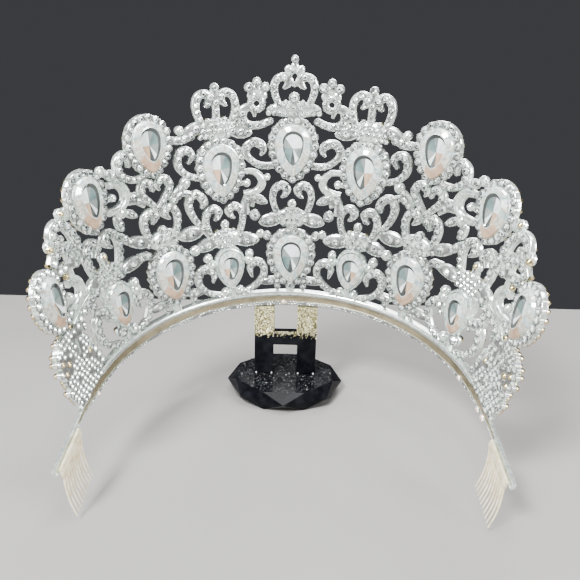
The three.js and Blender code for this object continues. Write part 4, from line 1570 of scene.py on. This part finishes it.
@dataclass
class PearStone:
    """A pear stone: a sloping crown round a table, through which its back facets show.

    shoulder, table_edge and well are rings, in parts of the girdle's or the table's width
    and height.  A stone further along the band than outer has facets in a painted warm
    reflection towards its outside, and ones in a painted peach reflection of wood outside
    the two parts of a turn in peach.
    """

    wall: Wall
    row: PearRow
    side: int
    floor: float = 0.2
    sunk: float = 0.5
    ridge: float = 1.1
    play: float = 0.004
    shoulder: Flat = (0.93, 0.94)
    shoulder_rise: float = 0.8
    table_edge: Flat = (1.08, 1.07)
    well: Flat = (0.86, 0.88)
    well_depth: float = 0.5
    well_outward: float = 0.35
    well_drop: float = 0.45
    apex_rise: float = 0.01
    sides: int = 32
    outer: float = 40.0
    peach: Flat = (0.16, 0.9)
    warm: float = 0.3

    @property
    def node(self) -> str:
        """The name of the part's node that it stands for."""
        ending = {0: "", 1: "_right", -1: "_left"}[self.side if self.row.s else 0]
        return f"stone_{self.row.name}{ending}"

    @property
    def frame(self) -> Matrix:
        """The frame that it stands on."""
        return self.wall.frame(self.side * self.row.s, self.row.h, 0, self.side * self.row.lean)

    def _ring(self, part: Flat, up: float, shift: Flat = (0.0, 0.0)) -> list[Vector]:
        """Finds a pear ring of the stone.

        Args:
            part: its width and height, in parts of the setting's.
            up: its relief.
            shift: how far it is moved to the right and up.

        Returns:
            Its corners, in metres.
        """
        frame = self.frame
        outline = pear(self.row.width * part[0], self.row.height * part[1], self.sides)
        return [frame @ Vector(((x + shift[0]) * MM, (y + shift[1]) * MM, up * MM)) for x, y in outline]

    def build(self, foils: Draft) -> bpy.types.Object:
        """Builds the stone.

        Args:
            foils: the draft of the gold backs, which grows by one.

        Returns:
            The stone, which stands for its node.
        """
        cut = self.row.cut
        draft = Draft()
        top = self.floor + cut.height - self.sunk
        girdle = (cut.x - self.play, cut.y - self.play)
        rise = self.row.height * cut.table_rise
        well = (self.side * self.well_outward if self.row.s else 0.0, rise - self.well_drop)
        rings = [
            self._ring(girdle, self.floor),
            self._ring(girdle, self.floor + cut.girdle),
            self._ring(
                (cut.x * self.shoulder[0], cut.y * self.shoulder[1]),
                self.floor + cut.girdle + self.shoulder_rise,
            ),
            self._ring(
                (cut.table_x * self.table_edge[0], cut.table_y * self.table_edge[1]),
                top - 0.05, (0.0, rise),
            ),
            self._ring((cut.table_x, cut.table_y), top, (0.0, rise)),
            self._ring(
                (cut.table_x * self.well[0], cut.table_y * self.well[1]), top - self.well_depth, well
            ),
        ]
        # The wall that sinks from the table to the back facets is painted shadow, a dark rim inside the
        # table.
        draft.loft(rings, (0, 0, 0, 0, STONE_LOOKS.index(Look.STONE_DARK)), caps=False)
        for level in (1, 2):
            for i in range(self.sides):
                draft.parts[level * self.sides + i] = STONE_LOOKS.index(self._crown_look(i))
        draft.add(rings[0], [tuple(range(self.sides - 1, -1, -1))])
        self._add_back_facets(draft, rings[-1], (*well, top - self.ridge))
        levels = ((0.98, -0.95), (0.93, -1.25), (0.86, -1.3), (0.62, -1.9), (0.2, -2.5))
        foils.loft([self._ring((cut.x * k, cut.y * k), up) for k, up in levels])
        name = self.node.replace("stone", "pear_stone")
        return draft.make(name, Slot.CRYSTAL, STONE_LOOKS, 16, self.node)

    def _crown_look(self, i: int) -> Look:
        """Chooses the finish of one long facet of the crown.

        Args:
            i: its number, counter-clockwise from the stone's point.

        Returns:
            White, or in a painted bluish or warm reflection by turns, and in a painted peach reflection of
            wood low on an outer stone.
        """
        turn = (i + 0.5) / self.sides
        outward = turn if self.side > 0 else 1 - turn
        outer = self.row.s > self.outer
        if outer and not self.peach[0] <= outward <= self.peach[1]:
            return Look.STONE_PEACH
        if i % 5 == 2:
            return Look.CROWN_PAINTED_COOL_REFLECTION
        if i % 5 == 4 or outer and outward < self.warm or abs(turn - 0.5) > self.warm and i % 2:
            return Look.CROWN_PAINTED_WARM_REFLECTION
        return Look.STONE_RIM

    def _add_back_facets(self, draft: Draft, edge: Sequence[Vector], well: Place) -> None:
        """Adds the back facets, a fan whose apex is a little above the middle, each in a painted reflection
        or shade.

        Args:
            draft: the draft that they are added to.
            edge: the ring round them.
            well: the middle of that ring, and the apex's relief.
        """
        x, y, up = well
        apex = self.frame @ Vector((x * MM, (y + self.row.height * self.apex_rise) * MM, up * MM))
        looks = [side if self.row.s > 0 else middle for _, middle, side in BACK_FACETS]
        if self.side * self.row.s < 0:
            looks.reverse()
        ends = [round(end * self.sides) for end, *_ in BACK_FACETS]
        for look, first, last in zip(looks, [0, *ends], ends):
            if last > first:
                run = [edge[i % self.sides] for i in range(first, last + 1)]
                faces = [(i, i + 1, len(run)) for i in range(len(run) - 1)]
                draft.add([*run, apex], faces, STONE_LOOKS.index(look))


# ------------------------------------------------------- the band and combs


@dataclass
class Headband:
    """The strip at the foot: a polished face, painted with a warm reflection, above a beaded lower edge on
    a shelf in painted shade.

    Each row of edges is a place s, with the lower and the upper edge there.  The shelf for
    the beads gets lower from narrows to twice that, by the part in narrowing.  rows are how
    far the beads' rows are above the lower edge.  Each drop of solder is s, h and radius.
    """

    wall: Wall
    half: float = 137.0
    steps: int = 160
    back: float = -0.9
    front: float = 0.7
    edges: tuple[Spot, ...] = (
        (0, 0.6, 5), (97, 0.6, 5), (109, 2.7, 5), (116, 3, 5), (124, 3, 5.3), (137.1, 3, 5.2),
    )
    beaded: float = 104.0
    upper_beaded: float = 55.0
    painted_reflection_half: float = 118.0
    shelf: float = 1.8
    full_height: float = 4.4
    narrows: float = 35.0
    narrowing: float = 0.4
    bead: float = 0.52
    pitch: float = 1.32
    missing: float = 0.18
    rows: Flat = (0.5, 1.4)
    solder: tuple[Spot, ...] = (
        (-2.6, 1.9, 1.3), (-98.5, 0.9, 1.1), (84.5, 1.2, 1.0), (101.5, 1.3, 1.1), (106.5, 2.2, 1.2),
    )

    def _edge(self, s: float) -> Flat:
        """Finds the band's edges.

        Args:
            s: the place along the band.

        Returns:
            The heights of its lower and upper edge there.
        """
        reach = abs(s)
        for (start, low, high), (end, next_low, next_high) in zip(self.edges, self.edges[1:]):
            if reach <= end:
                t = (reach - start) / (end - start)
                return low + (next_low - low) * t, high + (next_high - high) * t
        return self.edges[-1][1:]

    def build(self) -> None:
        """Builds the strip, its beaded edge and its solder."""
        strip = Draft()
        strip.loft(self.wall.run(self._section, -self.half, self.half, self.steps))
        size = len(self._section(0))
        for i in range(self.steps * size):
            reach = abs(self.half * (2 * (i // size) / self.steps - 1))
            # The front face is painted with a warm reflection of a wooden table.
            if i % size == 4 and reach < self.painted_reflection_half:
                strip.parts[i] = 1
            # The shelf under the beads is painted shade.
            elif i % size == 2 and reach < self.beaded:
                strip.parts[i] = 2
        looks = (Look.SILVER, Look.BAND_WOOD_REFLECTION, Look.PAINTED_SHADE)
        strip.make("headband_strip", Slot.SILVER, looks, 30, "headband")
        self._beads()
        self._solder()

    def _section(self, s: float) -> list[Flat]:
        """Finds the strip's section: a shelf for the beads, and a polished face above it.

        Args:
            s: the place along the band.

        Returns:
            The section's corners (h, f).
        """
        low, high = self._edge(s)
        leg = min(max((abs(s) - self.narrows) / self.narrows, 0), 1)
        shelf = low + self.shelf * min((high - low) / self.full_height, 1) * (1 - self.narrowing * leg)
        return [
            (low, self.back), (low, self.front - 0.2), (low + 0.2, self.front), (shelf, self.front),
            (shelf + 0.1, self.front - 0.3), (high - 0.15, self.front - 0.3), (high, self.front - 0.45),
            (high, self.back),
        ]

    def _lump(self, draft: Draft, place: Spot, radius: float, sides: int) -> None:
        """Adds a low round lump on the strip's front."""
        profile = ((1.0, 0.0), (0.8, 0.55), (0.3, 0.85))
        draft.loft(round_rings(self.wall.frame(*place), radius, profile, sides))

    def _beads(self) -> None:
        """Adds two rows of small uneven beads along the lower edge."""
        chance = random.Random(7)
        beads = Draft()
        for row, height in enumerate(self.rows):
            for i in range(int(2 * self.beaded / self.pitch)):
                s = -self.beaded + (i + 0.5 + row / 2) * self.pitch
                if chance.random() < self.missing or row and abs(s) > self.upper_beaded:
                    continue
                low, _ = self._edge(s)
                place = (s, low + height + chance.uniform(-0.15, 0.15), self.front - 0.1)
                self._lump(beads, place, self.bead * chance.uniform(0.7, 1.08), 7)
        beads.make("headband_beads", Slot.SILVER, (Look.CUP,), 40)

    def _solder(self) -> None:
        """Adds the drops of solder along the lower edge."""
        drops = Draft()
        f = self.front - 0.2
        for s, h, radius in self.solder:
            self._lump(drops, (s, h, f), radius, 11)
            self._lump(drops, (s + 0.7 * radius, h - 0.3, f), radius * 0.7, 9)
        drops.make("solder_drops", Slot.SILVER, (Look.SOLDER,), 60)


@dataclass
class Comb:
    """A side comb: a thin spine inside the end of the band, and curved tapering wires."""

    wall: Wall
    side: int
    start: float = 119.0
    end: float = 136.0
    steps: int = 16
    low: float = 1.8
    high: float = 4.6
    back: float = 1.0
    front: float = 1.9
    inset: float = 0.8
    count: int = 10
    wire: float = 0.38
    tip: float = 0.2
    drop: float = 14.8
    curl: float = 3.1
    line: tuple[Flat, ...] = ((0.0, 0.0), (0.12, 0.34), (0.42, 0.68), (1.0, 1.0))

    def build(self) -> bpy.types.Object:
        """Builds the comb.

        Returns:
            The comb, which stands for its node.
        """
        draft = Draft()
        section = (
            (self.low, self.back), (self.low + 0.1, self.front - 0.1), (self.low + 0.5, self.front),
            (self.high - 0.4, self.front), (self.high, self.front - 0.25), (self.high, self.back),
        )
        ends = (self.side * self.start, self.side * self.end)
        draft.loft(self.wall.run(lambda s: section, *ends, self.steps))
        pitch = (self.end - self.start - 2 * self.inset) / (self.count - 1)
        for i in range(self.count):
            self._tooth(draft, self.start + self.inset + i * pitch)
        name = "left" if self.side < 0 else "right"
        return draft.make(f"comb_wires_{name}", Slot.GOLD, (Look.COMB,), 40, f"comb_{name}")

    def _tooth(self, draft: Draft, s: float) -> None:
        """Adds one wire, which goes down and curls inward as it tapers.

        Args:
            draft: the draft that it is added to.
            s: the place along the band.
        """
        root = self.wall.point(self.side * s, self.low + self.inset, (self.back + self.front) / 2)
        path = spline(self.line, 5)
        rings = []
        for i, (curl, drop) in enumerate(path):
            t = i / (len(path) - 1)
            radius = (self.wire + (self.tip - self.wire) * t ** 1.5) * MM
            middle = root + Vector((-self.side * curl * self.curl, 0, -drop * self.drop)) * MM
            rings.append([middle + Vector((x * radius, y * radius, 0)) for x, y in oval(1, 1, 8)])
        draft.loft(rings)


# ------------------------------------------------------------------ the stand


@dataclass
class Stand:
    """The upright with its glitter, the glue at its foot, and the faceted base."""

    bevel: float = 0.25
    post: float = 8.3
    bar_low: float = 21.9
    bar_high: float = 28.1
    crust_low: float = 28.4
    front_grains: int = 1500
    side_grains: int = 600
    top_grains: int = 500
    bar_grains: int = 120
    specks: int = 1500
    speck_rim: float = 4.4
    grain: Flat = (0.22, 0.4)
    seed: int = 11
    low: Vector = field(init=False)
    high: Vector = field(init=False)
    inner: float = field(init=False)

    def __post_init__(self) -> None:
        """Finds the upright's lowest and highest corner, and the x of its right post's inner side."""
        self.low, self.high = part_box("stand_upright")
        self.inner = self.high.x - self.post * MM

    def build(self) -> None:
        """Builds the upright, its crust and its glue, and dresses the base."""
        self._upright()
        self._crust()
        self._glue()
        self._dress_base()

    def _upright(self) -> None:
        """Builds the H-shaped plate with softened edges."""
        low, high, inner = self.low, self.high, self.inner
        bar_low, bar_high = self.bar_low * MM, self.bar_high * MM
        outline = [
            (low.x, low.z), (-inner, low.z), (-inner, bar_low), (inner, bar_low), (inner, low.z),
            (high.x, low.z), (high.x, high.z), (inner, high.z), (inner, bar_high), (-inner, bar_high),
            (-inner, high.z), (low.x, high.z),
        ]
        draft = Draft()
        draft.loft([[Vector((x, y, z)) for x, z in outline] for y in (low.y, high.y)])
        plate = draft.make("upright_plate", Slot.ACRYLIC, (Look.ACRYLIC,), 30, "stand_upright")
        bevel = plate.modifiers.new("softened edges", "BEVEL")
        bevel.width = self.bevel * MM
        bevel.segments = 2

    def _crust(self) -> None:
        """Adds the glitter on both posts, thick above and ragged below."""
        low, high, inner = self.low, self.high, self.inner
        chance = random.Random(self.seed)
        grains = Draft()
        foot = self.crust_low * MM

        def climb(stray: float) -> float:
            """Draws a height on the posts, evenly spread, with strays under the crust.

            Args:
                stray: which part of the grains are strays.

            Returns:
                The height, in metres.
            """
            if chance.random() < stray:
                return foot - abs(chance.gauss(0, 1.2)) * MM
            return chance.uniform(foot, high.z)

        for left, right in ((low.x, -inner), (inner, high.x)):
            for face_y in (low.y, high.y):
                for _ in range(self.front_grains):
                    self._grain(grains, Vector((chance.uniform(left, right), face_y, climb(0.1))), chance)
            for face_x in (left, right):
                for _ in range(self.side_grains):
                    place = Vector((face_x, chance.uniform(low.y, high.y), climb(0.06)))
                    self._grain(grains, place, chance)
            for _ in range(self.top_grains):
                place = Vector((chance.uniform(left, right), chance.uniform(low.y, high.y), high.z))
                self._grain(grains, place, chance, 0.6)
        for _ in range(self.bar_grains):
            x = chance.uniform(-inner, inner)
            z = self.bar_high * MM - abs(chance.gauss(0, 0.9)) * MM
            self._grain(grains, Vector((x, low.y, z)), chance)
        grains.make("glitter_grains", Slot.GOLD, (Look.GOLD_GLITTER,), 0)

    def _grain(self, grains: Draft, place: Vector, chance: random.Random, scale: float = 1.0) -> None:
        """Adds one flake of glitter.

        Args:
            grains: the draft that it is added to.
            place: where it lies, in metres.
            chance: the source of random numbers.
            scale: its size beside the usual one.
        """
        size = chance.uniform(*self.grain) * scale * MM
        angle = chance.uniform(0, math.tau)
        spin = Matrix.Rotation(angle, 3, Vector((chance.random(), chance.random(), 1)))
        corners = [(1, 0, 0), (-0.5, 0.87, 0), (-0.5, -0.87, 0), (0, 0, 0.7), (0, 0, -0.7)]
        faces = [(0, 1, 3), (1, 2, 3), (2, 0, 3), (1, 0, 4), (2, 1, 4), (0, 2, 4)]
        grains.add([place + spin @ (Vector(c) * size) for c in corners], faces)

    def _glue(self) -> None:
        """Adds four small dots of dried glue at the foot of the posts."""
        low, high, inner = self.low, self.high, self.inner
        dots = Draft()
        spots = ((low.x + 0.8 * MM, 0.3), (-inner - 0.7 * MM, 0.3), (inner + 0.6 * MM, 0.26),
                 (high.x - 0.9 * MM, 0.38))
        for x, wide in spots:
            place = Vector((x, low.y - 0.1 * MM, low.z - 0.15 * MM))
            rings = [
                [place + Vector((a * wide * MM, b * 0.6 * wide * MM, up * MM)) for a, b in oval(k, k, 9)]
                for k, up in ((1.0, 0.0), (0.9, 0.3), (0.55, 0.6), (0.2, 0.7))
            ]
            dots.loft(rings)
        dots.make("glue_dots", Slot.ACRYLIC, (Look.GLUE,), 60)

    def _dress_base(self) -> None:
        """Gives the base its gloss, and its top a layer of black glitter."""
        base = frame["nodes"]["stand_base"]
        base.data.materials.clear()
        base.data.materials.append(material(Look.ACRYLIC))
        _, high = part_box("stand_base")
        chance = random.Random(self.seed + 1)
        specks = Draft()
        for _ in range(self.specks):
            reach = (high.x - self.speck_rim * MM) * math.sqrt(chance.random())
            angle = chance.uniform(0, math.tau)
            self._grain(specks, Vector((reach * math.cos(angle), reach * math.sin(angle), high.z)), chance)
        specks.make("black_specks", Slot.ACRYLIC, (Look.BLACK_GLITTER,), 0)


# ------------------------------------------------------------------ the studio


@dataclass(frozen=True)
class Lamp:
    """A soft square light that faces the tiara, in metres and watts; size is its side."""

    name: str
    place: Place
    size: float
    power: float

    def hang(self) -> None:
        """Hangs the light."""
        lamp = bpy.data.lights.new(self.name, "AREA")
        lamp.size = self.size
        lamp.energy = self.power
        hung = bpy.data.objects.new(self.name, lamp)
        hung.location = self.place
        towards = Vector((0, -0.03, 0.07)) - Vector(self.place)
        hung.rotation_euler = towards.to_track_quat("-Z", "Y").to_euler()
        bpy.context.scene.collection.objects.link(hung)


@dataclass
class Studio:
    """A plain floor, soft lights, and the camera, in metres and degrees."""

    lamps: tuple[Lamp, ...] = (
        Lamp("key", (-0.3, -0.5, 0.6), 0.2, 26.0),
        Lamp("fill", (0.6, -0.45, 0.3), 0.35, 13.5),
        Lamp("side", (-0.65, -0.35, 0.2), 0.4, 2.5),
        Lamp("top", (0.05, -0.1, 0.75), 0.35, 8.0),
        Lamp("rear", (0.1, 0.5, 0.5), 0.4, 5.0),
    )
    backdrop: Colour = (0.05, 0.052, 0.057)
    floor_reach: float = 2.0
    floor_back: float = 0.13
    floor_top: float = -0.00005
    place: Place = (0.0034, -0.2485, 0.1193)
    pitch: float = 16.33
    heading: float = -0.44
    roll: float = 1.34
    lens: float = 37.24
    sensor: float = 36.0

    def build(self) -> None:
        """Builds the floor, the lights, the surroundings and the camera."""
        self._floor()
        for lamp in self.lamps:
            lamp.hang()
        world = bpy.data.worlds.new("surroundings")
        world.use_nodes = True
        world.node_tree.nodes["Background"].inputs["Color"].default_value = (*self.backdrop, 1)
        bpy.context.scene.world = world
        self._camera()

    def _floor(self) -> None:
        """Lays the floor just under the stand."""
        mesh = bpy.data.meshes.new("floor")
        reach, back = self.floor_reach, self.floor_back
        outline = ((-reach, -reach), (reach, -reach), (reach, back), (-reach, back))
        corners = [(x, y, self.floor_top) for x, y in outline]
        mesh.from_pydata(corners, [], [(0, 1, 2, 3)])
        floor = bpy.data.objects.new("floor", mesh)
        bpy.context.scene.collection.objects.link(floor)
        mesh.materials.append(material(Look.FLOOR))

    def _camera(self) -> None:
        """Sets up the camera in front of the open side."""
        lens = bpy.data.cameras.new("camera")
        lens.sensor_width = self.sensor
        lens.lens = self.lens
        camera = bpy.data.objects.new("camera", lens)
        turn = Matrix.Rotation(-math.radians(self.heading), 4, "Z")
        turn = turn @ Matrix.Rotation(math.radians(90 - self.pitch), 4, "X")
        turn = turn @ Matrix.Rotation(math.radians(self.roll), 4, "Z")
        camera.matrix_world = Matrix.Translation(self.place) @ turn
        bpy.context.scene.collection.objects.link(camera)
        bpy.context.scene.camera = camera


def main() -> None:
    """Builds every piece in order."""
    logging.basicConfig(level=logging.INFO, format="%(name)s: %(message)s")
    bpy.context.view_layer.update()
    wall = Wall()
    Studio().build()
    chatons = Chatons(wall)
    Casting(wall, chatons).build()
    chatons.make()
    foils = Draft()
    for row in PEARS:
        for side in both_sides(row.s):
            PearStone(wall, row, side).build(foils)
    foils.make("gold_stone_backs", Slot.GOLD, (Look.GOLD,), 30)
    Headband(wall).build()
    for side in (-1, 1):
        Comb(wall, side).build()
    Stand().build()
    bpy.context.view_layer.update()


if __name__ == "__main__":
    main()
